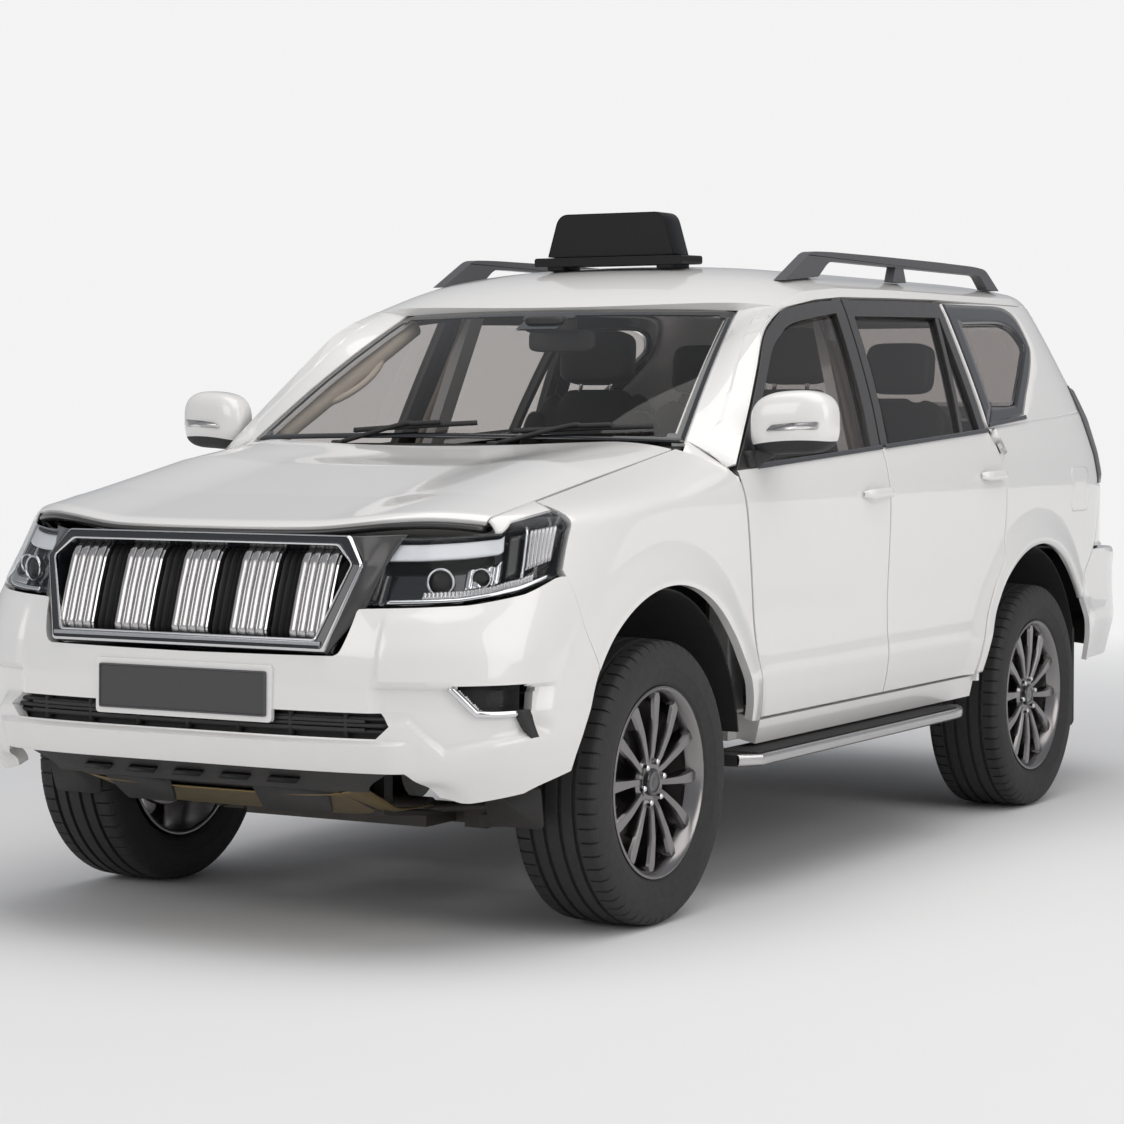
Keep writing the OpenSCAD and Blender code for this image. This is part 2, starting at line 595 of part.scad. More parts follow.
// Height of the shoulders above the hood's side edge, along the car
hood_bulge = [[nose + 92, 30], [yf - 440, 33], [yf - 50, 48], [yf + 350, 30]];
function hood_front_y(x) = skin(at_front_x(abs(x), 1096), 1096)[1] + 4;
function hood_dish(y) = mid(0.62, 1.05, ease((y - yf - 50) / 340));
function hood_crown(u, y) =
  u > 0.75 ? 1 - pow((u - 0.75) / 0.25, 2) : mid(hood_dish(y), 1, ease((u - 0.4) / 0.33));
function hood_z(x, y) = hood_edge_z(y) + lookup(y, hood_bulge) * hood_crown(min(1, abs(x) / 735), y);
hood_cols = [-1, -0.93, -0.84, -0.72, -0.6, -0.45, -0.25, 0, 0.25, 0.45, 0.6, 0.72, 0.84, 0.93, 1];
function hood_grid(grow) = [for (t = [0, 0.04, 0.14, 0.3, 0.5, 0.7, 0.86, 1]) [for (s = hood_cols)
  let (
    x = s * mid(hood_front_half, hood_edge_x(hood_back) - panel_gap, t),
    y = mid(hood_front_y(s * hood_front_half) - grow, hood_back - hood_bow * (1 - s * s), t)
  ) [x * (1 + grow / 735), y, hood_z(x, y)]]];
module hood() {
  color(paint) union() {
    sheet(hood_grid(0), hood_t, inset = 6);
    pair() {
      rod([695, hood_pivot[1], hood_pivot[2]], [731, hood_pivot[1], hood_pivot[2]], hood_pin_r);
      block([721, hood_pivot[1] - 24, hood_pivot[2] - 8], [731, hood_pivot[1] + 5, hood_pivot[2] + 12]);
    }
  }
}
// Room kept free under and in front of the hood's edge
module hood_room() {
  translate([0, 0, 80]) sheet(hood_grid(panel_gap), hood_t + panel_gap + 80);
}

// Front bumper: the skin below the grille and the lamps, with its slot and lamp openings
bumper_cols = [0, 0.1, 0.2, 0.27, 0.33, 0.4, 0.48, 0.56, 0.64, 0.72, 0.8, 0.88, 0.94, 1];
bumper_low = [[0, 488], [0.4, 486], [0.5, 450], [0.58, 408], [0.85, 428], [1, 470]];
bumper_top = [[0, 768], [0.25, 772], [0.34, 884], [0.46, 886]];
function arch_front_y(z) =
  z < 720 ? arch_yf - sqrt(arch_r * arch_r - pow(z - arch_z, 2)) : mid(yf - 367, yf - 462, (z - 720) / 265);
// Line between the bumper and the head lamp, as a height along the car
lamp_line = [[nose + 78, 898], [nose + 200, 908], [nose + 320, 932], [yf - 485, 968], [yf - 462, 972]];
function lamp_floor(q) = lookup(skin(q, 930)[1], lamp_line);
function bumper_point(t, v) =
  let (
    q930 = mid(front_y0(930) - front_arc, at_y(arch_front_y(930), 930), abs(t)),
    top = abs(t) < 0.46 ? lookup(abs(t), bumper_top) : lamp_floor(q930) - panel_gap,
    z = mid(lookup(abs(t), bumper_low), top, v),
    q0 = front_y0(z) - front_arc, q1 = at_y(arch_front_y(z) - half_gap, z),
    p = skin(mid(q0, q1, abs(t)), z)
  )
  [t < 0 ? -p[0] : p[0], p[1], p[2]];
slot_z = [570, 634];
slot_half_w = 560;
module front_bumper() {
  cols = concat([for (i = [len(bumper_cols) - 1 : -1 : 1]) -bumper_cols[i]], bumper_cols);
  g = [for (v = [0, 0.14, 0.3, 0.45, 0.6, 0.8, 1]) [for (t = cols) bumper_point(t, v)]];
  color(paint) difference() {
    union() {
      sheet(g, 36, inset = 8);
      pair() block([rail_half_gap + 8, nose + 40, 494], [rail_half_gap + rail_w - 8, nose + 130 - seat_gap, 534]);
    }
    rotate([90, 0, 0]) translate([0, 0, -nose - 250])
      linear_extrude(400) polygon([[-slot_half_w - 40, 602], [-slot_half_w, slot_z[0]], [slot_half_w, slot_z[0]],
        [slot_half_w + 40, 602], [slot_half_w, slot_z[1]], [-slot_half_w, slot_z[1]]]);
    pair() fog_opening(0);
  }
}
module fog_opening(grow) {
  translate([800, nose + 190, 0]) rotate([90, 0, 38]) translate([0, 0, -120]) linear_extrude(300)
    polygon([[-92 - grow, 704 + grow], [64 + grow, 704 + grow], [64 + grow, 628 - grow], [-40, 628 - grow]]);
}

// Grille: hexagonal frame, bright upright bars and dark slats before a dark back plate
grille_tilt = atan2(94, grille_top_z - grille_low_z);
grille_h = norm([94, grille_top_z - grille_low_z]);
grille_face = nose + 16;
// Beam behind the grille that carries it and the head lamps
support_y = nose + 230;
support_z = [930, 980];
function hexagon(d) = [
  [-424 + d, d], [424 - d, d], [grille_half_w - d, grille_h * 0.76], [442 - d, grille_h - d],
  [-442 + d, grille_h - d], [-grille_half_w + d, grille_h * 0.76]
];
// Bright bars: each has upright ribs and leans back at its top
grille_span = 792;
bar_w = 88;
bar_ribs = 4;
rib_gap = 6;
rib_h = 8;
module grille_bar(x, w, lift) {
  across(x, x + w) polygon([
    [18, -38], [grille_h - 18, -38], [grille_h - 18, lift - 20], [grille_h * 0.8, lift], [grille_h * 0.14, lift],
    [18, lift - 12]]);
}
module grille() {
  bar_pitch = (grille_span - bar_w) / (grille_bars - 1);
  slat_pitch = (bar_pitch - bar_w) / (grille_slats + 1);
  rib_w = (bar_w - (bar_ribs - 1) * rib_gap) / bar_ribs;
  translate([0, grille_face, grille_low_z]) rotate([90 - grille_tilt, 0, 0]) {
    color(bright) {
      translate([0, 0, -40]) linear_extrude(52) difference() {
        polygon(hexagon(0));
        polygon(hexagon(26));
      }
      for (i = [0 : grille_bars - 1]) {
        grille_bar(-grille_span / 2 + i * bar_pitch + 1, bar_w - 2, 0);
        for (k = [0 : bar_ribs - 1])
          grille_bar(-grille_span / 2 + i * bar_pitch + k * (rib_w + rib_gap), rib_w, rib_h);
      }
    }
    color(black) {
      translate([0, 0, -52]) linear_extrude(18) polygon(hexagon(12));
      for (i = [0 : grille_bars - 2], k = [1 : grille_slats])
        grille_bar(-grille_span / 2 + i * bar_pitch + bar_w + k * slat_pitch - 5, 10, -10);
    }
  }
  color(black) pair() block([200, nose + 116, 935], [240, support_y - seat_gap, 975]);
}

// Point of the front at a given x, sunk below the skin
function front_point(x, z, sink) =
  let (q = at_front_x(abs(x), z), p = skin(q, z) - sink * plan_normal([q, z])) [x < 0 ? -p[0] : p[0], p[1], z];

// Dark insert of the bumper's slot and the guard plate below it
insert_sink = 41;
module lower_grille() {
  xs = [for (t = [-1, -0.9, -0.75, -0.5, -0.25, 0, 0.25, 0.5, 0.75, 0.9, 1]) t * (slot_half_w + 60)];
  guard = nose + 70;
  color(dark) union() {
    sheet([for (z = [540, 600, 660]) [for (x = xs) front_point(x, z, insert_sink)]], 12);
    for (z = [590, 612])
      sheet([for (d = [-4, 4]) [for (x = xs) front_point(x * 0.86, z + d, 18)]], insert_sink - 16);
    block([-280, nose + insert_sink + 4, 538], [280, guard + 14, 548]);
    across(-404, 404) polygon([
      [guard, 545], [guard, 470], [guard + 42, 420], [yf - 560, 330], [yf - 300, 300], [yf - 300, 312],
      [yf - 560, 344], [guard + 52, 434], [guard + 14, 478], [guard + 14, 545]]);
    pair() block([384, yf - 600, 338], [rail_half_gap + 14, yf - 560, 470 - seat_gap]);
  }
}

// Lamps at the front: head lamps round the corner and fog lamps in the bumper
lamp_top_line = [
  [nose + 170, 1074], [nose + 224, 1080], [nose + 312, 1086], [nose + 370, 1108], [yf - 480, 1128], [yf - 390, 1138]
];
lamp_inner_line = [[898, 500], [1002, 508], [1078, 464]];
function lamp_back_y(z) = mid(yf - 485, yf - 389, (z - 968) / 172);
module headlamp() {
  qa = at_front_x(500, 930);
  qb = at_y(lamp_back_y(968), 930);
  g = [for (v = steps(3)) [for (t = steps(8))
    let (
      q930 = mid(qa, qb, t),
      z = mid(lamp_floor(q930), lookup(skin(q930, 1090)[1], lamp_top_line), v)
    )
    [mid(at_front_x(lookup(z, lamp_inner_line), z), at_y(lamp_back_y(z), z), t), z]]];
  difference() {
    skin_sheet(g, 80, sink = 1, inset = 10);
    hood_room();
  }
}
module front_lamps() {
  color(pane) pair() {
    union() {
      headlamp();
      block([514, nose + 168, 936], [540, support_y - seat_gap, 974]);
    }
    intersection() {
      skin_sheet([for (z = [600, 665, 730]) [for (t = steps(5))
        [mid(at_front_x(690, z), at_y(yf - 600, z), t), z]]], 20, sink = 14);
      fog_opening(-seat_gap);
    }
  }
}

// Cowl between hood and windscreen, with the two wipers lying on it
function cowl_y(s, back) = yf + mid(418, 454, back) - mid(150, 154, back) * (1 - s * s);
module cowl_wipers() {
  cols = [-1, -0.8, -0.55, -0.3, 0, 0.3, 0.55, 0.8, 1];
  g = [for (t = [0, 1]) [for (s = cols) [s * 730, cowl_y(s, t), mid(1268, 1278, t) + 6 * (1 - s * s)]]];
  color(black) union() {
    sheet(g, 24);
    pair() block([cowl_post_x - 10, hood_back - 21, cowl_rib_z + seat_gap], [cowl_post_x + 10, hood_back + 2, 1262]);
    for (x = [-330, 210])
      rod([x, cowl_y(x / 730, 0.4), 1280], [x + 330, cowl_y((x + 330) / 730, 0.4), 1296], 8);
  }
}

// Roof rails on three feet each
rail_front = yf + 1320;
rail_back = yr + 318;
function rail_foot_z(y) = roof_at(rail_x - 20, y) + 2 * seat_gap;
module rail() {
  feet = [rail_front + 50, mid(rail_front, rail_back, 0.5), rail_back - 60];
  union() {
    translate([rail_x - 14, 0, 0]) rotate([90, 0, 90]) linear_extrude(28) polygon([
      [rail_front, rail_foot_z(rail_front)], [rail_front + 180, rail_top_z - 12],
      [rail_front + 260, rail_top_z], [rail_back - 220, rail_top_z], [rail_back - 130, rail_top_z - 10],
      [rail_back, rail_foot_z(rail_back)], [rail_back - 90, rail_foot_z(rail_back - 90) + 6],
      [rail_back - 180, rail_top_z - 30], [rail_front + 250, rail_top_z - 28],
      [rail_front + 160, rail_top_z - 46], [rail_front + 110, rail_foot_z(rail_front + 110)]]);
    for (y = feet)
      block([rail_x - 20, y - 60, max(rail_foot_z(y - 60), rail_foot_z(y + 60))], [rail_x + 20, y + 60, rail_top_z - 20]);
  }
}
module roof_rails() {
  color(dark) pair() rail();
}

// Blank roof sign: a foot across the roof and a tapered box on it
sign_foot_z = roof_line(sign_y) + 28;
module roof_sign() {
  color(black) union() {
    across(-sign_w / 2, sign_w / 2) polygon(concat(
      [for (d = [-70, -35, 0, 35, 70]) [sign_y + d, roof_line(sign_y + d) + 2 * seat_gap]],
      [[sign_y + 70, sign_foot_z], [sign_y - 70, sign_foot_z]]));
    translate([-sign_w * 0.36, sign_y - 40, sign_foot_z - 2]) cube([sign_w * 0.72, 80, 20]);
    translate([0, sign_y, sign_foot_z + 16]) rotate([90, 0, 0]) translate([0, 0, -52]) linear_extrude(104)
      polygon([[-sign_w * 0.43, 0], [sign_w * 0.43, 0], [sign_w * 0.36, sign_h - 44], [-sign_w * 0.36, sign_h - 44]]);
  }
}

// Side steps under the sills
step_front = yf + 462;
step_back = yr - 672;
module side_steps() {
  color(dark) pair() union() {
    block([806, step_front, 378], [962, step_back, 418]);
    for (y = [step_front + 160, mid(step_front, step_back, 0.5), step_back - 160])
      block([rail_half_gap + rail_w + seat_gap, y - 30, 384], [820, y + 30, 410]);
  }
}

// Tail lamps round the rear corners
module tail_lamps() {
  g = [for (z = [1110, 1200, 1300, 1400, 1470]) [for (t = steps(4))
    [mid(at_y(yr + 668 + panel_gap + 7 - 26 * (z - 1110) / 360, z), at_tail_x(gate_half_w + panel_gap + 4, z), t), z]]];
  tab = [for (z = [1200, 1340]) [for (y = [yr + 642, yr + 674, yr + 716]) [at_y(y, z), z]]];
  color("darkred") pair() union() {
    skin_sheet(g, 46, sink = -12, inset = 14);
    skin_sheet(tab, 7, sink = wall_t + 17 * seat_gap);
  }
}

// Rear bumper: the skin below the tailgate with its shelf, and a filler under each tail lamp
tail_cols = [0, 0.2, 0.4, 0.5, 0.6, 0.7, 0.8, 0.9, 1];
shelf_z = [836, 862];
function arch_back_y(z) = arch_yr + sqrt(max(0, arch_r * arch_r - pow(z - arch_z, 2)));
function quarter_back_y(z) = lookup(z, [[902, yr + 610], [1106, yr + 668]]);
function tail_bumper_point(t, v) =
  let (
    z = mid(mid(500, 470, abs(t)), mid(862, 872, abs(t)), v),
    side = z < 704 ? arch_back_y(z) : mid(yr + 423, yr + 610, (z - 704) / 198),
    q0 = tail_y0(z) + tail_arc, q1 = at_y(side + panel_gap, z),
    p = skin(mid(q0, q1, abs(t)), z)
  )
  [t < 0 ? -p[0] : p[0], p[1], p[2]];
module rear_bumper() {
  cols = concat([for (i = [len(tail_cols) - 1 : -1 : 1]) tail_cols[i]], [for (t = tail_cols) -t]);
  g = [for (v = [0, 0.2, 0.4, 0.6, 0.8, 0.94, 1]) [for (t = cols) tail_bumper_point(t, v)]];
  shelf = [for (t = [for (i = [2 : len(cols) - 3]) cols[i]]) let (p = tail_bumper_point(t, 1)) [p[0] * 0.97, p[1] - 18]];
  filler = [for (z = [890, 950, 1020, 1098]) [for (t = steps(4))
    [mid(at_y(quarter_back_y(z) + panel_gap, z), at_tail_x(gate_half_w + panel_gap, z), t), z]]];
  color(paint) union() {
    union() {
      sheet(g, 60);
      translate([0, 0, shelf_z[0]]) linear_extrude(shelf_z[1] - shelf_z[0]) polygon(concat(shelf,
        [[-780, yr + 690], [-600, tail - 200], [600, tail - 200], [780, yr + 690]]));
    }
    pair() block([700, tail - 260, shelf_z[0] + 10], [740, tail - 238, 930]);
    pair() block([rail_half_gap + 8, tail - 90 + seat_gap, 510], [rail_half_gap + rail_w - 8, tail - 40, 590]);
    for (z = [[986, gate_knuckle_z[0] - seat_gap], [gate_knuckle_z[1] + seat_gap, 1092]]) {
      translate([gate_axis[0], gate_axis[1], z[0]]) cylinder(r = gate_knuckle_r, h = z[1] - z[0]);
      block([gate_axis[0] - 44, gate_axis[1] - 36, z[0]], [gate_axis[0] - 4, gate_axis[1], z[1]]);
    }
    pair() skin_sheet(filler, wall_t, inset = 8);
  }
}

// Tailgate: hinged at the right, with its window
module tailgate() {
  cols = [1, 0.86, 0.6, 0, -0.6, -0.86, -1];
  zs = [gate_low_z, 980, 1100, 1240, gate_sill_z + 18];
  g = [for (z = zs) [for (s = cols)
    let (p = skin(at_tail_x(abs(s) * gate_half_w, z), z)) [s < 0 ? -p[0] : p[0], p[1], z]]];
  window = [for (a = [0 : 15]) gate_edge(a, 0)];
  rim = [for (a = [0 : 15]) gate_edge(a, 1)];
  color(paint) union() {
    sheet(g, door_t, inset = 12);
    sheet(grid_mid(window, rim, steps(1)), 44, wrap = true);
    sheet([for (z = [1372, 1400, 1414]) [for (s = [1, 0.5, 0, -0.5, -1]) gate_pane_point(s, z) - [0, glass_t + 2, 0]]], 12);
    translate([gate_axis[0], gate_axis[1], gate_knuckle_z[0]])
      cylinder(r = gate_knuckle_r, h = gate_knuckle_z[1] - gate_knuckle_z[0]);
    block([gate_axis[0], gate_axis[1] - 8, gate_knuckle_z[0]], [gate_axis[0] + 60, gate_axis[1] + 6, gate_knuckle_z[1]]);
  }
}
// Outline of the tailgate window (t = 0) and of the frame round it (t = 1), on the tail's skin
gate_x = [1, 1, 1, 1, 1, 0.5, 0, -0.5, -1, -1, -1, -1, -1, -0.5, 0, 0.5];
gate_h = [0, 0.25, 0.5, 0.75, 1, 1, 1, 1, 1, 0.75, 0.5, 0.25, 0, 0, 0, 0];
function gate_edge(a, t) =
  let (
    x = gate_x[a] * mid(560, gate_edge_x(mid(gate_sill_z, gate_top_z, gate_h[a])), t),
    z = mid(mid(1392, 1690, gate_h[a]), mid(gate_sill_z, gate_top_z, gate_h[a]), t),
    p = skin(at_tail_x(abs(x), z), z)
  )
  [x, p[1] - 2, z];
function gate_pane_point(s, z) = [s * 549, skin(at_tail_x(abs(s) * 549, z), z)[1] - 14, z];
module tailgate_glass() {
  g = [for (h = steps(4)) [for (s = [1, 0.5, 0, -0.5, -1]) gate_pane_point(s, mid(1400, 1677, h))]];
  color(pane) sheet(g, glass_t);
}

// Ladder frame: two rails that rise over the axles, joined by cross members
rail_half_gap = 402;
rail_w = 62;
floor_z = 510;
floor_beam_z = floor_z - seat_gap - 40;
cross_members = [
  [nose + 200, 500, 60], [yf + 700, floor_beam_z, 40], [yf + 1080, floor_beam_z, 40], [yr - 420, 530, 60], [yr + 700, 520, 60]
];
module chassis_frame() {
  profile = [
    [nose + 130, 470], [yf - 420, 470], [yf - 330, 520], [yf + 250, 520], [yf + 500, 356], [yr - 500, 356],
    [yr - 280, 520], [yr + 330, 520], [yr + 520, 500], [tail - 90, 500], [tail - 90, 600], [yr + 480, 610],
    [yr + 340, 640], [yr - 300, 640], [yr - 545, 490], [yf + 545, 490], [yf + 270, 640], [yf - 380, 640],
    [yf - 470, 590], [nose + 130, 590]
  ];
  color(dark) union() {
    pair() across(rail_half_gap, rail_half_gap + rail_w) polygon(profile);
    pair() block([rail_half_gap, support_y, 560], [rail_half_gap + rail_w, support_y + 40, support_z[1]]);
    block([-542, support_y, support_z[0]], [542, support_y + 40, support_z[1]]);
    for (m = cross_members)
      block([-rail_half_gap - 10, m[0], m[1]], [rail_half_gap + 10, m[0] + 70, m[1] + m[2]]);
  }
}

// Sizes of the arch liners, which meet the load floor
liner_r = arch_r - 8;
liner_x = body_half_w - 44;
liner_room = 25.5;
liner_in_x = half_track - tyre_w / 2 - liner_room;
rear_liner_end = 22;
flap_y = yf + 456;
rear_flap_y = arch_yr + liner_r * cos(rear_liner_end);
// Floor with the bulkhead in front and the raised load floor behind
bulkhead_y = yf + 570;
load_z = 690;
floor_half_w = post_x[0] - seat_gap;
load_half_w = liner_in_x - seat_gap;
cowl_post_x = 600;
cowl_rib_z = 1240;
module floor_pan() {
  color(dark) difference() {
    floor_sheets();
    pair() wheel_house(arch_yf, rail_half_gap + rail_w);
    pair() wheel_house(arch_yr, liner_in_x);
  }
}
// Room that the floor leaves for an arch liner
house_gap = 15;
module wheel_house(cy, x) {
  translate([x, cy, arch_z]) rotate([0, 90, 0]) cylinder(r = liner_r + house_gap, h = body_half_w - x);
}
module floor_sheets() {
  union() {
    across(-floor_half_w, floor_half_w) polygon([
      [bulkhead_y, floor_z], [yr - 560, floor_z], [yr - 560, floor_z + 26], [bulkhead_y + 26, floor_z + 26],
      [bulkhead_y + 26, 1190], [bulkhead_y, 1190]]);
    across(-load_half_w, load_half_w) polygon([
      [yr - 580, floor_z + 4], [yr - 540, floor_z + 4], [yr - 470, load_z - 26], [tail - 200, load_z - 26],
      [tail - 200, load_z], [yr - 486, load_z], [yr - 560, floor_z + 26], [yr - 580, floor_z + 26]]);
    pair() block([cowl_post_x - 20, hood_back - 27, 1180], [cowl_post_x + 20, bulkhead_y + 20, cowl_rib_z]);
  }
}

// Arch liners with their mud flaps
module liner(cy, a0, a1, x0, x1) {
  n = 24;
  arc = [for (i = [0 : n]) let (a = mid(a0, a1, i / n)) [a, i]];
  across(x0, x1) polygon(concat(
    [for (p = arc) [cy + liner_r * cos(p[0]), arch_z + liner_r * sin(p[0])]],
    [for (i = [n : -1 : 0]) [cy + (liner_r - 6) * cos(arc[i][0]), arch_z + (liner_r - 6) * sin(arc[i][0])]]));
}
module arch_liners() {
  color(black) pair() {
    union() {
      liner(arch_yf, 150, 8, rail_half_gap + rail_w + seat_gap, liner_x);
      block([690, flap_y, 236], [800, flap_y + 12, 480]);
      block([690, flap_y, 470], [800, arch_yf + liner_r - 4, 480]);
    }
    union() {
      liner(arch_yr, 164, rear_liner_end, liner_in_x, liner_x);
      block([690, rear_flap_y - 7, 236], [liner_x, rear_flap_y + 2, arch_z + liner_r * sin(rear_liner_end) + 1]);
    }
  }
}

// Engine, gearbox and shafts
engine_low_z = axle_z + 92 + seat_gap;
module engine_block() {
  color(metal) block([-270, yf - 520, engine_low_z], [270, bulkhead_y - 40, 1030]);
}
shaft_z = axle_z;
// Radius of the rear differential
drum_r = 140;
shaft_r = 22;
module driveline() {
  color(metal) {
    union() {
      rod([0, bulkhead_y - 160, shaft_z - 10], [0, yf + 1150, shaft_z - 10], 86);
      rod([0, yf + 1150 - 1, shaft_z], [0, yr - drum_r - seat_gap, shaft_z], 36);
      block([-90, bulkhead_y - 180, shaft_z - 60], [90, bulkhead_y - 60, engine_low_z - seat_gap]);
    }
    union() {
      rod([-140, yf, shaft_z], [140, yf, shaft_z], 92);
      pair() rod([130, yf, shaft_z], [kingpin_x - 40, yf, shaft_z], shaft_r);
      rod([90, yf + 60, shaft_z + 20], [150, yf + 700, shaft_z + 10], 24);
    }
  }
}
pipe_bends = [
  [-250, yr - 450, 418], [-330, yr - 160, 560], [-330, yr + 260, 560], [-340, yr + 440, 452],
  [-560, tail - 320, 440], [-560, tail - 120, 440]
];
module exhaust() {
  color(metal) union() {
    rod([-250, yf + 500, 420], [-250, yr - 700, 400], 30);
    rod([-250, yf + 520, 420], [-250, yf + 520, engine_low_z - seat_gap], 26);
    rod([-250, yr - 900, 400], [-250, yr - 420, 420], 84);
    for (i = [0 : len(pipe_bends) - 2]) rod(pipe_bends[i], pipe_bends[i + 1], 28);
    for (i = [1 : len(pipe_bends) - 2]) translate(pipe_bends[i]) sphere(r = 31);
  }
}
module fuel_tank() {
  color(black) block([110, yf + 1180, 366], [380, yr - 640, floor_z - seat_gap]);
}

// Front suspension: arms, spring legs and steering rack on a cross member
module front_suspension() {
  arm_x = rail_half_gap + rail_w + seat_gap;
  color(dark) difference() {
    union() {
      block([-430, yf - 60, 246], [430, yf + 60, 284]);
      pair() {
        block([rail_half_gap - 30, yf - 130, 246], [rail_half_gap + 40, yf + 130, 520 - seat_gap]);
        translate([0, 0, 252]) linear_extrude(34) polygon([
          [rail_half_gap + 30, yf - 150], [kingpin_x - 26, yf - 20], [kingpin_x + 12, yf - 16],
          [kingpin_x + 12, yf + 16], [kingpin_x - 26, yf + 20], [rail_half_gap + 30, yf + 150]]);
        translate([0, 0, 548]) linear_extrude(24) polygon([
          [arm_x, yf - 90], [kingpin_x - 20, yf - 18], [kingpin_x + 12, yf - 16],
          [kingpin_x + 12, yf + 16], [kingpin_x - 20, yf + 18], [arm_x, yf + 90]]);
        rod([532, yf + 62, 270], [508, yf + 62, 720], 34);
        rod([298, yf - 190, 300], [500, yf - 178, 318], 12);
      }
      rod([-300, yf - 190, 300], [300, yf - 190, 300], 30);
      block([-300, yf - 214, 250], [300, yf - 40, 280]);
    }
    pair() rod([300, yf, axle_z], [600, yf, axle_z], shaft_r + 12);
  }
}

// Steering knuckle with its stub axle and brake caliper
stub_r = 30;
module knuckle() {
  color(metal) union() {
    block([kingpin_x - 20, yf - 26, 286 + seat_gap], [kingpin_x + 16, yf + 26, 548 - seat_gap]);
    rod([kingpin_x + 10, yf, axle_z], [half_track + 30, yf, axle_z], stub_r);
    block([kingpin_x - 12, yf + 20, axle_z - 70], [kingpin_x + 12, yf + 150, axle_z + 70]);
    brake(yf, 1);
  }
}
// Brake caliper with a slot for the disc, which turns with the rim
disc_r = 168;
disc_x = [-54, -28];
module brake(y, side) {
  difference() {
    block([kingpin_x - 20, min(y + side * 110, y + side * 196), axle_z - 70],
      [kingpin_x + 62, max(y + side * 110, y + side * 196), axle_z + 70]);
    translate([half_track + disc_x[0] - 6, y, axle_z]) rotate([0, 90, 0]) cylinder(r = disc_r + 6, h = 60);
  }
}
module knuckle_left() { knuckle(); }
module knuckle_right() { mirror([1, 0, 0]) knuckle(); }

// Rear axle: tube, differential, links and springs
module rear_axle() {
  color(dark) union() {
    rod([-half_track + 96, yr, axle_z], [half_track - 96, yr, axle_z], 46);
    pair() rod([half_track - 100, yr, axle_z], [half_track + 30, yr, axle_z], stub_r);
    rod([-120, yr, axle_z], [120, yr, axle_z], drum_r);
    pair() {
      rod([520, yr, axle_z], [rail_half_gap + rail_w + 30, yr - 600, 420], 24);
      rod([rail_half_gap + 31, yr + 112, 396], [rail_half_gap + 31, yr + 112, 520 - seat_gap], 56);
      block([rail_half_gap - 10, yr - 36, axle_z - 26], [rail_half_gap + 74, yr + 176, 404]);
      brake(yr, -1);
      block([half_track - 104, yr - 140, axle_z - 37], [half_track - 72, yr, axle_z + 37]);
    }
  }
}

// Wheels: tyre and rim, made at the origin with the axle along x and the outer face at +x
module tyre() {
  w = tyre_w / 2;
  groove = 9;
  function crown(c) = tyre_r - max(0, abs(c) - 30) * 0.05;
  color(black) rotate([0, 90, 0]) rotate_extrude($fn = 72) polygon(concat(
    [[rim_r - 4, -w + 32], [rim_r + 6, -w + 14], [rim_r + 60, -w], [tyre_r - 42, -w + 4], [tyre_r - 10, -w + 16]],
    [for (c = [-66, -24, 24, 66]) each [[crown(c), c - 6], [tyre_r - groove, c - 5],
      [tyre_r - groove, c + 5], [crown(c), c + 6]]],
    [[tyre_r - 10, w - 16], [tyre_r - 42, w - 4], [rim_r + 60, w], [rim_r + 6, w - 14], [rim_r - 4, w - 32],
     [rim_r - 10, w - 32], [rim_r - 10, -w + 32]]));
}
barrel_r = rim_r - 10 - seat_gap;
module rim() {
  w = tyre_w / 2;
  face = w - 26;
  color(metal) union() {
    rotate([0, 90, 0]) rotate_extrude($fn = 96) polygon([
      [barrel_r - 14, -w + 20], [barrel_r - 2, -w + 20], [barrel_r - 2, -w + 34], [barrel_r, -w + 36], [barrel_r, w - 34],
      [rim_r - 12, w - 30], [rim_r - 12, w - 16], [rim_r - 26, w - 16], [rim_r - 34, w - 36], [barrel_r - 26, w - 60],
      [barrel_r - 14, w - 80]]);
    for (i = [0 : spoke_pairs - 1], s = [-1, 1])
      rotate([i * 360 / spoke_pairs + s * 13, 0, 0])
        translate([0, -15, 40]) rotate([90, 0, 90])
          linear_extrude(face) polygon([[4, 0], [26, 0], [25, rim_r - 70], [5, rim_r - 70]]);
    rotate([0, 90, 0]) difference() {
      translate([0, 0, -10]) cylinder(r = 74, h = face + 4);
      translate([0, 0, -11]) cylinder(r = stub_r + seat_gap, h = 80);
    }
    rotate([0, 90, 0]) translate([0, 0, -60]) difference() {
      cylinder(r = 62, h = 56);
      translate([0, 0, -1]) cylinder(r = stub_r + seat_gap, h = 80);
    }
    rotate([0, 90, 0]) translate([0, 0, disc_x[0]]) difference() {
      cylinder(r = disc_r, h = disc_x[1] - disc_x[0]);
      translate([0, 0, -1]) cylinder(r = 58, h = 28);
    }
  }
}
module at_wheel(side, y) {
  translate([side * half_track, y, axle_z]) rotate([0, 0, side > 0 ? 0 : 180]) children();
}
module tyre_front_left() { at_wheel(1, yf) tyre(); }
module tyre_front_right() { at_wheel(-1, yf) tyre(); }
module tyre_rear_left() { at_wheel(1, yr) tyre(); }
module tyre_rear_right() { at_wheel(-1, yr) tyre(); }
module rim_front_left() { at_wheel(1, yf) rim(); }
module rim_front_right() { at_wheel(-1, yf) rim(); }
module rim_rear_left() { at_wheel(1, yr) rim(); }
module rim_rear_right() { at_wheel(-1, yr) rim(); }

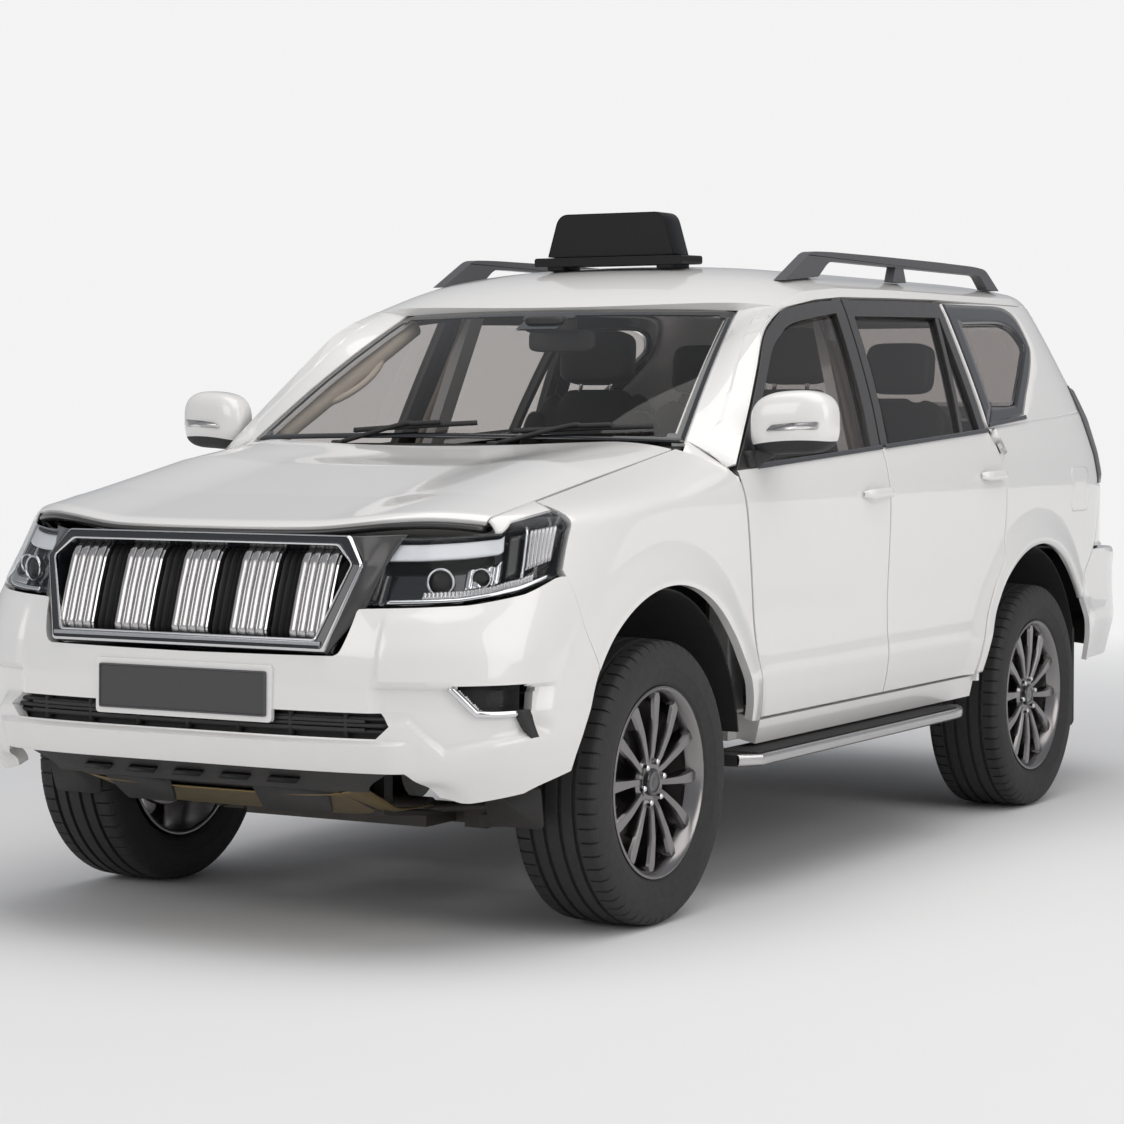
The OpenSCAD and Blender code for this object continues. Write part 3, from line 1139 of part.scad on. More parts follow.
// Dashboard with its console and the shroud of the steering column
wheel_x = 370;
wheel_hub = [wheel_x, yf + 1080, 1070];
wheel_tilt = 26;
wheel_axis = [0, cos(wheel_tilt), sin(wheel_tilt)];
module dashboard() {
  color(hide) union() {
    across(-700, 700) polygon([
      [bulkhead_y + 26 + seat_gap, 800], [yf + 780, 760], [yf + 900, 860], [yf + 940, 1000], [yf + 920, 1130],
      [yf + 820, 1176], [bulkhead_y + 26 + seat_gap, 1180]]);
    block([-120, yf + 800, floor_z + 26 + seat_gap], [120, yf + 1500, 790]);
    rod(wheel_hub - wheel_axis * 260, wheel_hub - wheel_axis * 60, 36);
  }
}
module steering_wheel() {
  color(hide) translate(wheel_hub) rotate([wheel_tilt - 90, 0, 0]) union() {
    rotate_extrude($fn = 48) translate([184, 0]) circle(r = 15, $fn = 16);
    translate([0, 0, -60 + seat_gap]) cylinder(r = 30, h = 60);
    translate([0, 0, -14]) cylinder(r = 66, h = 34);
    for (a = [0, 90, 180]) rotate([0, 0, a]) translate([50, -16, -8]) cube([128, 32, 16]);
  }
}

// Seats
module seat(w, y) {
  h = floor_z + 26 + seat_gap;
  across(-w / 2, w / 2) polygon([
    [y - 240, h], [y + 220, h], [y + 250, 860], [y + 300, 880], [y + 470, 1440], [y + 420, 1462],
    [y + 350, 1440], [y + 190, 930], [y - 230, 955], [y - 290, 925], [y - 270, 850]]);
}
module headrest(w, y, z) {
  across(-w / 2, w / 2) polygon([[y, z], [y + 80, z - 6], [y + 108, z + 170], [y + 40, z + 186], [y + 10, z + 150]]);
  across(-60, -46) polygon([[y + 40, z - 40], [y + 56, z - 40], [y + 56, z + 10], [y + 40, z + 10]]);
  across(46, 60) polygon([[y + 40, z - 40], [y + 56, z - 40], [y + 56, z + 10], [y + 40, z + 10]]);
}
front_seat_y = yf + 1530;
rear_seat_y = yr - 500;
module front_seats() {
  color(hide) for (x = [-370, 370]) translate([x, 0, 0]) union() {
    seat(500, front_seat_y);
    headrest(270, front_seat_y + 370, 1475);
  }
}
module rear_seats() {
  h = load_z + seat_gap;
  color(hide) union() {
    across(-600, 600) polygon([
      [rear_seat_y + 60, h], [rear_seat_y + 430, h], [rear_seat_y + 560, 1400], [rear_seat_y + 500, 1420],
      [rear_seat_y + 440, 1400], [rear_seat_y + 330, 950], [rear_seat_y - 60, 985], [rear_seat_y - 120, 950],
      [rear_seat_y - 60, 860]]);
    for (x = [-390, 390]) translate([x, 0, 0]) headrest(250, rear_seat_y + 460, 1434);
  }
}

chassis_frame();
floor_pan();
arch_liners();
side_frames();
front_fenders();
quarter_panels();
roof_panel();
windshield();
quarter_windows();
front_bumper();
grille();
lower_grille();
front_lamps();
cowl_wipers();
roof_rails();
roof_sign();
side_steps();
tail_lamps();
rear_bumper();
engine_block();
driveline();
exhaust();
fuel_tank();
front_suspension();
rear_axle();
dashboard();
front_seats();
rear_seats();
hood();
tailgate();
tailgate_glass();
steering_wheel();
knuckle_left();
knuckle_right();
tyre_front_left();
tyre_front_right();
tyre_rear_left();
tyre_rear_right();
rim_front_left();
rim_front_right();
rim_rear_left();
rim_rear_right();
front_door_left();
front_door_right();
rear_door_left();
rear_door_right();
front_glass_left();
front_glass_right();
rear_glass_left();
rear_glass_right();
mirror_left();
mirror_right();
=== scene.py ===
import json
import math
import bpy
import numpy as np
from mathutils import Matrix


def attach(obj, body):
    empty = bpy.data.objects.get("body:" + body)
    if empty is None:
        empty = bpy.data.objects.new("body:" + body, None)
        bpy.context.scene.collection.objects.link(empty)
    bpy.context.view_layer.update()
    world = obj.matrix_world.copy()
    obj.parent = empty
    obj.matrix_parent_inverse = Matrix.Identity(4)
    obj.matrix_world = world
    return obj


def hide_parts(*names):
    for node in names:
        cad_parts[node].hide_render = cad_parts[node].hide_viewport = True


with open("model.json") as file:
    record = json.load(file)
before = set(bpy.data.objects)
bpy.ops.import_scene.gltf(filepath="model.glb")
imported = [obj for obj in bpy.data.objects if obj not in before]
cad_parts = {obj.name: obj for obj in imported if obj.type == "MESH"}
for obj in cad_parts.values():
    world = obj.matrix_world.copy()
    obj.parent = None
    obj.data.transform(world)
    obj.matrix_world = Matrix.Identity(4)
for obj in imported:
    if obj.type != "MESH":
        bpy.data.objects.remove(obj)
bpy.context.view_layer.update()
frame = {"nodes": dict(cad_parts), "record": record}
nodes = frame["nodes"]
print("frame loaded:", len(nodes), "nodes")

# Main places in millimetres, the car faces -Y and the ground is z = 0
nose, tail, yf, yr = -2420.0, 2420.0, -1510.0, 1280.0
bodyHalf, archR, flareH, gap = 918.0, 517.0, 23.0, 7.0
archYf, archYr, archZ, axleZ = yf + 40, yr + 5, 400.0, 387.0
half = gap / 2


# Materials

def setInputs(node, values):  # a value for each named socket
    for socket, value in values.items():
        node.inputs[socket].default_value = value


# Shader node with its values and incoming links by socket
def makeNode(tree, kind, values={}, links={}, **settings):
    node = tree.nodes.new("ShaderNode" + kind)
    for key, value in settings.items():
        setattr(node, key, value)
    setInputs(node, values)
    for socket, source in links.items():
        tree.links.new(source, node.inputs[socket])
    return node


def startMaterial(name):  # new material with its tree and its main shader
    mat = bpy.data.materials.new(name)
    mat.use_nodes = True
    return mat, mat.node_tree, mat.node_tree.nodes["Principled BSDF"]


dustLook = dict(colour=(0.33, 0.27, 0.21, 1), top=0.75, low=0.25, scale=7, detail=6)


# Main shader with its colour, gloss and grain varied by noise
def newMaterial(name, colour, rough, metal=0.0, coat=0.0, coatRough=0.03, spec=0.5, noise=0.0, noiseScale=60.0,
                bump=0.0, bumpScale=400.0, roughSwing=0.0, dust=0.0):
    mat, tree, sh = startMaterial(name)
    setInputs(sh, {"Base Color": (*colour, 1), "Roughness": rough, "Metallic": metal, "Coat Weight": coat,
                   "Coat Roughness": coatRough, "Specular IOR Level": spec})
    coord = makeNode(tree, "TexCoord").outputs["Object"]

    def cloud(scale, detail):  # noise over the piece
        return makeNode(tree, "TexNoise", {"Scale": scale, "Detail": detail}, {"Vector": coord}).outputs["Fac"]

    base = None
    if noise:
        shades = {6: (*[c * (1 - noise) for c in colour], 1),
                  7: (*[min(1, c * (1 + noise)) for c in colour], 1)}
        base = makeNode(tree, "Mix", shades, {0: cloud(noiseScale, 4)}, data_type="RGBA").outputs[2]
    if dust:  # road dust that thins out above the sills
        height = makeNode(tree, "SeparateXYZ", {}, {0: coord}).outputs["Z"]
        fade = makeNode(tree, "MapRange", {"From Min": dustLook["top"], "From Max": dustLook["low"],
                                           "To Max": dust},
                        {"Value": height}).outputs[0]
        grain = cloud(dustLook["scale"], dustLook["detail"])
        amount = makeNode(tree, "Math", {}, {0: fade, 1: grain}, operation="MULTIPLY").outputs[0]
        under = {6: base} if base else {}
        base = makeNode(tree, "Mix", {6: (*colour, 1), 7: dustLook["colour"]}, {0: amount, **under},
                        data_type="RGBA").outputs[2]
    if base:
        tree.links.new(base, sh.inputs["Base Color"])
    if roughSwing:
        swing = makeNode(tree, "MapRange", {"To Min": rough - roughSwing, "To Max": rough + roughSwing},
                         {"Value": cloud(noiseScale * 0.4, 3)})
        tree.links.new(swing.outputs[0], sh.inputs["Roughness"])
    if bump:
        relief = makeNode(tree, "Bump", {"Strength": bump, "Distance": 0.001}, {"Height": cloud(bumpScale, 3)})
        tree.links.new(relief.outputs[0], sh.inputs["Normal"])
    return mat


paint = newMaterial("warmWhitePaint", (0.80, 0.79, 0.775), 0.32, coat=1.0, noise=0.012, noiseScale=3,
                    dust=0.16, bump=0.012, bumpScale=900)
frameGrey = newMaterial("windowFrameGrey", (0.035, 0.034, 0.034), 0.38, coat=0.4, coatRough=0.15, noise=0.08,
                        roughSwing=0.06)
blackPlastic = newMaterial("grainedBlackPlastic", (0.022, 0.022, 0.023), 0.62, noise=0.2, noiseScale=300,
                           bump=0.25, bumpScale=1500, roughSwing=0.1, dust=0.10)
glossBlack = newMaterial("glossBlack", (0.012, 0.013, 0.016), 0.14, coat=0.6, noise=0.1, roughSwing=0.04)
chrome = newMaterial("brightChrome", (0.70, 0.70, 0.71), 0.10, metal=1.0, noise=0.03, roughSwing=0.04)
satinChrome = newMaterial("satinChrome", (0.52, 0.51, 0.51), 0.24, metal=1.0, noise=0.04, noiseScale=20,
                          roughSwing=0.05)
darkChrome = newMaterial("darkChrome", (0.26, 0.25, 0.25), 0.24, metal=1.0, noise=0.05, noiseScale=15,
                         roughSwing=0.05)
railGrey = newMaterial("railGrey", (0.075, 0.075, 0.08), 0.42, noise=0.06, roughSwing=0.05, bump=0.05)
signBlack = newMaterial("signBlack", (0.005, 0.005, 0.006), 0.42, spec=0.25, noise=0.1, roughSwing=0.05)
rubber = newMaterial("tyreRubber", (0.026, 0.025, 0.025), 0.72, noise=0.2, noiseScale=90, bump=0.2,
                     bumpScale=1200, roughSwing=0.12)
cabinPlastic = newMaterial("cabinPlastic", (0.03, 0.029, 0.03), 0.6, noise=0.1, bump=0.2, bumpScale=1400,
                           roughSwing=0.1)
beigeTrim = newMaterial("beigeTrim", (0.52, 0.46, 0.39), 0.6, noise=0.05, bump=0.1, bumpScale=900,
                        roughSwing=0.06)
leather = newMaterial("blackLeather", (0.022, 0.02, 0.02), 0.45, noise=0.15, noiseScale=120, bump=0.3,
                      bumpScale=700, roughSwing=0.1)
frameBlack = newMaterial("frameBlack", (0.02, 0.02, 0.021), 0.55, noise=0.2, noiseScale=30, dust=0.3,
                         roughSwing=0.1)
castMetal = newMaterial("castMetal", (0.16, 0.155, 0.15), 0.5, metal=0.8, noise=0.15, bump=0.3, bumpScale=500)
pipeSteel = newMaterial("pipeSteel", (0.33, 0.30, 0.27), 0.38, metal=1.0, noise=0.15, noiseScale=25,
                        roughSwing=0.1)
brakeSteel = newMaterial("brakeSteel", (0.38, 0.37, 0.36), 0.3, metal=1.0, noise=0.1, noiseScale=50,
                         roughSwing=0.08)
lampWhite = newMaterial("lampLightGuide", (0.75, 0.76, 0.78), 0.25, noise=0.03, coat=0.5)
lampRed = newMaterial("redLens", (0.52, 0.012, 0.016), 0.08, coat=1.0, noise=0.1, noiseScale=40)
bronzeTray = newMaterial("bronzeTray", (0.22, 0.16, 0.07), 0.35, metal=0.7, noise=0.12, noiseScale=20,
                         roughSwing=0.1)


# See-through sheet with a coloured tint and a gloss by angle
def glassMaterial(name, tint, mirrorTint, depth, bend):
    mat, tree, sh = startMaterial(name)
    setInputs(sh, {"Base Color": (*mirrorTint, 1), "Roughness": 0.02})
    clear = makeNode(tree, "BsdfTransparent", {"Color": (*tint, 1)})
    coord = makeNode(tree, "TexCoord").outputs["Object"]
    wave = makeNode(tree, "TexNoise", {"Scale": 9}, {"Vector": coord}).outputs["Fac"]
    relief = makeNode(tree, "Bump", {"Strength": 0.01}, {"Height": wave}).outputs[0]
    gloss = makeNode(tree, "BsdfGlossy", {"Roughness": 0.015}, {"Normal": relief})
    pane = makeNode(tree, "MixShader", {0: depth}, {1: clear.outputs[0], 2: sh.outputs[0]})
    back = makeNode(tree, "NewGeometry").outputs["Backfacing"]
    outer = makeNode(tree, "Math", {0: 1.0}, {1: back}, operation="SUBTRACT")  # gloss on the outward face only
    angle = makeNode(tree, "Fresnel", {"IOR": bend}).outputs[0]
    share = makeNode(tree, "Math", {}, {0: angle, 1: outer.outputs[0]}, operation="MULTIPLY")
    both = makeNode(tree, "MixShader", {}, {0: share.outputs[0], 1: pane.outputs[0], 2: gloss.outputs[0]})
    tree.links.new(both.outputs[0], tree.nodes["Material Output"].inputs["Surface"])
    return mat


screenGlass = glassMaterial("clearScreen", (0.95, 0.945, 0.94), (0.05, 0.05, 0.05), 0.02, 1.32)
smokeGlass = glassMaterial("smokedGlass", (0.76, 0.74, 0.73), (0.06, 0.055, 0.05), 0.06, 1.4)
lampGlass = glassMaterial("lampCover", (0.97, 0.975, 0.98), (0.3, 0.3, 0.3), 0.01, 1.22)
print("materials ready:", len(bpy.data.materials))


# Mesh helpers: shapes are numpy grids in millimetres

# Quads of an n by m grid, outward where rows x columns point out
def gridFaces(n, m, closeU=False, closeV=False):
    i, j = np.meshgrid(np.arange(n if closeV else n - 1), np.arange(m if closeU else m - 1), indexing="ij")
    i, j = i.ravel(), j.ravel()
    i2, j2 = (i + 1) % n, (j + 1) % m
    return np.stack([i * m + j, i * m + j2, i2 * m + j2, i2 * m + j], 1)


class Shape:  # collects grids with a material index each
    def __init__(self):
        self.v, self.f, self.m, self.uv, self.n = [], [], [], [], 0

    def add(self, verts, faces, mat=0, uv=None):  # points with one or several lists of faces
        verts = np.asarray(verts, float).reshape(-1, 3)
        self.v.append(verts)
        self.uv.append(np.zeros((len(verts), 2)) if uv is None else np.asarray(uv, float).reshape(-1, 2))
        for f in (faces if isinstance(faces, list) else [faces]):
            f = np.asarray(f)
            self.f.append(f + self.n)
            self.m.append(np.full(len(f), mat))
        self.n += len(verts)
        return self

    def grid(self, p, mat=0, closeU=False, closeV=False, uv=None, flip=False):  # rows and columns of points
        n, m = p.shape[:2]
        f = gridFaces(n, m, closeU, closeV)
        return self.add(p, f[:, ::-1] if flip else f, mat, uv)

    def mirror(self):  # adds the copy on the car's other side
        v, f, m, uv = np.concatenate(self.v), [a.copy() for a in self.f], list(self.m), np.concatenate(self.uv)
        n = self.n
        self.v.append(v * [-1, 1, 1])
        self.uv.append(uv)
        self.f += [a[:, ::-1] + n for a in f]
        self.m += m
        self.n += n
        return self

    def join(self, other):  # takes over another shape's grids
        self.v += other.v
        self.uv += other.uv
        self.f += [f + self.n for f in other.f]
        self.m += other.m
        self.n += other.n
        return self


# Object of a shape in metres, riding on its body, for the CAD nodes that it stands for
def addPiece(name, shape, mats, body="body", stands=(), smooth=True, flipX=False):
    v = np.concatenate(shape.v) * 0.001
    faces = [q for f in shape.f for q in f.tolist()]
    if flipX:
        v = v * [-1, 1, 1]
        faces = [q[::-1] for q in faces]
    mesh = bpy.data.meshes.new(name)
    mesh.from_pydata(v.tolist(), [], faces)
    for mat in mats:
        mesh.materials.append(mat)
    mesh.polygons.foreach_set("material_index", np.concatenate(shape.m).astype(np.int32))
    mesh.polygons.foreach_set("use_smooth", np.full(len(mesh.polygons), smooth))
    layer = mesh.uv_layers.new(name="uv")
    loops = np.empty(len(mesh.loops), np.int32)
    mesh.loops.foreach_get("vertex_index", loops)
    layer.data.foreach_set("uv", np.concatenate(shape.uv)[loops].astype(np.float32).ravel())
    mesh.update()
    ob = bpy.data.objects.new(name, mesh)
    bpy.context.scene.collection.objects.link(ob)
    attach(ob, body)
    if stands:
        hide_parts(*stands)
    return ob


def thick(ob, depth, inner=0, rim=0):  # wall inwards from a single surface
    mod = ob.modifiers.new("wall", "SOLIDIFY")
    mod.thickness = depth * 0.001
    mod.offset = -1
    mod.use_even_offset = False
    mod.material_offset = inner
    mod.material_offset_rim = rim
    return ob


def soften(ob, width, segments=2, angle=38):  # small rounded hem on sharp edges
    mod = ob.modifiers.new("hem", "BEVEL")
    mod.width = width * 0.001
    mod.segments = segments
    mod.limit_method = "ANGLE"
    mod.angle_limit = math.radians(angle)
    mod.harden_normals = True
    return ob


def mid(a, b, t):  # straight blend from a to b
    return a + (b - a) * t


def ease(t):  # 3 t squared less 2 t cubed, held between 0 and 1
    c = np.clip(t, 0, 1)
    return c * c * (3 - 2 * c)


def spline(points, per, corners=()):  # cubic curve through the points, broken at the corner points
    p = np.asarray(points, float)
    cuts = [0, *corners, len(p) - 1]
    parts = []
    for a, b in zip(cuts[:-1], cuts[1:]):
        s = p[a:b + 1]
        u = np.linspace(0, len(s) - 1, (len(s) - 1) * per + 1)
        i = np.minimum(u.astype(int), len(s) - 2)
        t = (u - i)[:, None]
        g = np.gradient(s, axis=0) if len(s) > 2 else np.repeat(s[1:] - s[:1], 2, 0)
        c = (2 * t**3 - 3 * t**2 + 1) * s[i] + (t**3 - 2 * t**2 + t) * g[i] \
            + (3 * t**2 - 2 * t**3) * s[i + 1] + (t**3 - t**2) * g[i + 1]
        parts.append(c if b == len(p) - 1 else c[:-1])
    return np.concatenate(parts)


def heightCurve(points):  # y as a function of z along a smooth edge
    c = spline(points, 12)
    return lambda z: np.interp(z, c[:, 1], c[:, 0])


def softTable(rows, col, soft):  # table over the height, blurred with a bell curve of width soft
    z = np.arange(100, 2201, 2.0)
    v = np.interp(z, [r[0] for r in rows], [r[col] for r in rows])
    k = np.exp(-0.5 * (np.arange(-3 * soft, 3 * soft + 1, 2) / soft) ** 2)
    k /= k.sum()
    s = np.convolve(np.pad(v, len(k) // 2, mode="edge"), k, mode="valid")[:len(z)]
    return lambda h: np.interp(h, z, s)


# Body skin: half width over the height, with rounded corners at nose and tail

sideRows = [(330, -66), (420, -44), (500, -26), (560, -12), (625, -4), (700, -11), (800, -12), (950, -5),
            (1080, 0), (1140, 0), (1217, -12), (1300, -38), (1400, -70), (1500, -106), (1600, -145),
            (1700, -186), (1770, -222), (1850, -270)]
frontRows = [(330, 90, 560, 3.4), (420, 46, 590, 3.5), (490, 8, 600, 3.5), (560, 0, 600, 3.5),
             (700, 4, 600, 3.5), (790, 10, 610, 3.4), (900, 40, 660, 3.0), (1000, 70, 720, 2.7),
             (1070, 104, 745, 2.6), (1130, 130, 760, 2.6), (1300, 200, 760, 2.6)]
tailRows = [(330, 70, 480, 3.4), (480, 14, 510, 3.4), (560, 0, 520, 3.4), (840, 0, 520, 3.4),
            (872, 16, 520, 3.4), (884, 118, 560, 3.2), (1100, 126, 580, 3.2), (1340, 156, 600, 3.2),
            (1500, 228, 600, 3.1), (1700, 322, 590, 3.0), (1790, 366, 580, 3.0), (1900, 420, 580, 3.0)]
frontArc, tailArc, flareReach = 1250.0, 1150.0, 130.0
sideT = softTable(sideRows, 1, 12)
noseT, noseL, noseN = (softTable(frontRows, i, 14) for i in (1, 2, 3))
tailT, tailL, tailN = softTable(tailRows, 1, 4), softTable(tailRows, 2, 6), softTable(tailRows, 3, 8)


def halfW(z):  # half width of the body: its widest place less the table's tuck
    return bodyHalf + sideT(z)


def frontY0(z):  # where the front corner starts: the nose, its rake and the corner's length
    return nose + noseT(z) + noseL(z)


def tailY0(z):  # where the rear corner starts, in the same way
    return tail - tailT(z) - tailL(z)


def beltZ(y):  # straight belt line, rising to the rear
    return 1217 + (y - yf - 469) * 0.048


def hoodEdgeZ(y):  # straight edge between hood and fender, rising to the rear
    return 1150 + (y - yf + 370) * 0.166


def hoodEdgeX(y):  # half width of that edge, growing a little to the rear
    return 742 + (y - yf - 400) * 0.012


def flareAt(y, z, cy):  # 1 at the wheel arch, eased to 0 over the flare's reach
    return ease(1 - (np.hypot(y - cy, z - archZ) - archR) / flareReach)


def skin(q, z):  # point of the side: q runs along it and round both corners by a superellipse
    q, z = np.broadcast_arrays(np.asarray(q, float), np.asarray(z, float))
    w, y1, y2 = halfW(z), frontY0(z), tailY0(z)
    fa = np.clip((y1 - q) / frontArc, 0, 1) * np.pi / 2
    ta = np.clip((q - y2) / tailArc, 0, 1) * np.pi / 2
    fe, te = 2 / noseN(z), 2 / tailN(z)
    x = w * np.maximum(np.cos(fa), 1e-9) ** fe * np.maximum(np.cos(ta), 1e-9) ** te
    y = np.where(fa > 0, y1 - noseL(z) * np.sin(fa) ** fe,
                 np.where(ta > 0, y2 + tailL(z) * np.sin(ta) ** te, q))
    zg, h = hoodEdgeZ(y), mid(64, 120, (y - yf + 370) / 770)
    roll = np.where((y > yf + 465) | (z < zg - h), 0,
                    np.maximum(0, x - hoodEdgeX(y)) * np.clip((z - zg + h) / h, 0, 1) ** 2.6)
    x = x + flareH * np.maximum(flareAt(y, z, archYf), flareAt(y, z, archYr)) * np.minimum(1, x / w) - roll
    return np.stack([x, y, z], -1)


def atY(y, z):  # q of the skin's point at a given y
    y, z = np.broadcast_arrays(np.asarray(y, float), np.asarray(z, float))
    y1, y2 = frontY0(z), tailY0(z)
    f = np.arcsin(np.clip(np.maximum(0, (y1 - y) / noseL(z)) ** (noseN(z) / 2), 0, 1)) / (np.pi / 2) * frontArc
    t = np.arcsin(np.clip(np.maximum(0, (y - y2) / tailL(z)) ** (tailN(z) / 2), 0, 1)) / (np.pi / 2) * tailArc
    return np.where(y < y1, y1 - f, np.where(y > y2, y2 + t, y))


def atFrontX(x, z):  # q of the front corner's point at a given x, by the superellipse's inverse cosine
    return frontY0(z) \
        - np.arccos(np.clip((np.abs(x) / halfW(z)) ** (noseN(z) / 2), 0, 1)) / (np.pi / 2) * frontArc


def atTailX(x, z):  # the same at the rear corner
    return tailY0(z) \
        + np.arccos(np.clip((np.abs(x) / halfW(z)) ** (tailN(z) / 2), 0, 1)) / (np.pi / 2) * tailArc


def skinNormal(q, z):  # cross product of short steps along q and up z
    c = np.cross(skin(q + 4, z) - skin(q - 4, z), skin(q, z + 4) - skin(q, z - 4))
    return c / np.linalg.norm(c, axis=-1, keepdims=True)


def onSkin(y, z, sink=0.0):  # point at (y, z), sunk below the skin along its normal
    q = atY(y, z)
    p = skin(q, z)
    return p - sink * skinNormal(q, z) if np.any(sink) else p


def skinGrid(g, sink=0.0):  # the same for a grid of (y, z) pairs
    return onSkin(g[..., 0], g[..., 1], sink)


def loft(a, b, rows):  # (y, z) grid between two curves of equal length
    t = np.asarray(rows)[:, None, None]
    return a[None] * (1 - t) + b[None] * t


# Doors

door = dict(low=502.0, wall=52, frameWall=30, hem=3.0, rows=60, cols=70)
midY, midFrameY = yf + 1520, yf + 1585
frontEdge = heightCurve([(yf + 644, 502), (yf + 596, 702), (yf + 553, 916), (yf + 502, 1138),
                         (yf + 469, 1217)])
midTop = float(beltZ(midY))
rearTop = float(beltZ(yr - 366))


def midEdge(z):  # edge between the doors: upright, eased forwards by 14 mm below the belt
    return midY - 14 * ease((z - 1000) / 300)


def doorArch(z):  # rear door's edge round the wheel arch: a circle 46 mm wider than the arch
    return archYr - math.sqrt((archR + 46) ** 2 - (z - archZ) ** 2)


rearEdge = heightCurve([(doorArch(z), z) for z in (502, 640, 760)] + [
    (yr - 326, 870), (yr - 296, 980), (yr - 296, 1130), (yr - 318, 1240), (yr - 366, rearTop)])


def doorSkin(edgeA, edgeB, topA, topB):  # skin between two edges, rows from the sill to the belt
    v = np.linspace(0, 1, door["rows"])
    za, zb = mid(door["low"], topA, v), mid(door["low"], topB, v)
    u = np.linspace(0, 1, door["cols"])[None]
    y = mid((edgeA(za) + half)[:, None], (edgeB(zb) - half)[:, None], u)
    z = mid(za[:, None], zb[:, None], u)
    return onSkin(y, z)


frontFrame = [(yf + 469, 1217), (yf + 578, 1312), (yf + 694, 1412), (yf + 805, 1508), (yf + 915, 1603),
              (yf + 1010, 1651), (yf + 1131, 1692), (yf + 1380, 1722), (midFrameY, 1736)]
frontPost = [(midY - 10, 1215), (midY - 14, midTop), (midY + 14, 1400), (midY + 45, 1580), (midFrameY, 1736)]
rearPost = [(yr - 372, 1270), (yr - 384, 1440), (yr - 392, 1600), (yr - 397, 1750)]
division = [(yr - 592, 1290), (yr - 524, 1510), (yr - 461, 1712)]


def strip(outer, inner, per, sink, rows=4):  # band of skin between two smooth lines
    a, b = spline(outer, per), spline(inner, per)
    return skinGrid(loft(b, a, np.linspace(0, 1, rows)), sink)


def upright(line, d0, d1, per, sink):  # strip along a near-vertical line, shifted along the car
    c = spline(line, per)
    y = np.stack([c[:, 0] + d0, c[:, 0] + mid(d0, d1, 0.5), c[:, 0] + d1], 1)
    return onSkin(y, np.repeat(c[:, 1:], 3, 1), sink)


def frameFront():  # front window frame: band along the pillar and roof, upright post behind
    s = Shape()
    outer = [(yf + 499, 1177)] + [(p[0] + half * 0.7, p[1] - half * 0.7) for p in frontFrame[:8]] + \
        [(midFrameY - half, 1736 - half)]
    inner = [(yf + 599, 1181), (yf + 601, 1231), (yf + 650, 1318), (yf + 748, 1404), (yf + 850, 1490),
             (yf + 948, 1568), (yf + 1038, 1611), (yf + 1150, 1648), (yf + 1385, 1677), (yf + 1532, 1690)]
    s.grid(strip(outer, inner, 10, 3))
    s.grid(upright(frontPost, -half - 70, -half, 10, 3.5))
    return s


def frameRear():  # rear window frame: band along the roof, two posts and the division bar
    s = Shape()
    outer = [(midFrameY + 6, 1736 - half), (yf + 1990, 1744 - half), (yr - 397 - half, 1750 - half)]
    s.grid(strip(outer, [(p[0], p[1] - 52) for p in outer], 16, 3))
    s.grid(upright(frontPost, 6, 58, 10, 3.5))
    s.grid(upright(rearPost, -half - 52, -half, 10, 3.5))
    s.grid(upright(division, -14, 14, 10, 6))
    return s


def pane(a, b, cols=12):  # glass between two side lines
    p, q = spline(a, 8), spline(b, 8)
    return skinGrid(loft(p, q, np.linspace(0, 1, cols)).transpose(1, 0, 2), 16)


def handleShape(y0, z0):  # grip bar with a dished cup behind it
    s = Shape()
    a = np.linspace(0, 2 * np.pi, 17)[:-1]
    t = np.linspace(-1, 1, 25)[:, None]
    fall = 1 - np.abs(t) ** 6
    y = y0 + t * 98 + 0 * a
    z = z0 + np.sin(a) * 17 * (0.55 + 0.45 * fall) + 0 * t + t * 1.5
    base = onSkin(y, z)
    out = np.cos(a) * 10 * (0.4 + 0.6 * fall) + 22 * (1 - np.abs(t) ** 8) + 2
    s.grid(base + out[..., None] * [1, 0, 0], closeU=True, flip=True)
    r = np.linspace(0, 1, 8)[:, None]
    b = np.linspace(0, 2 * np.pi, 33)[:-1]
    cy, cz = y0 - 8 + np.cos(b) * 62 * r, z0 + np.sin(b) * 30 * r
    s.grid(onSkin(cy, cz) + 0.8 * (0.6 + 0.4 * r[..., None]) * [1, 0, 0], 1, closeU=True, flip=True)
    return s


def moulding(y0, y1, z0, z1):  # thin dark bead along the belt
    y, z = np.linspace(y0, y1, 40)[:, None], np.linspace(z0, z1, 40)[:, None]
    a = np.linspace(-0.5, 1.5, 7) * np.pi * 0.5
    return Shape().grid(onSkin(y + 0 * a, z + 8 * np.sin(a)) + 6 * np.cos(a * 0.5)[:, None] * [1, 0, 0],
                        flip=True)


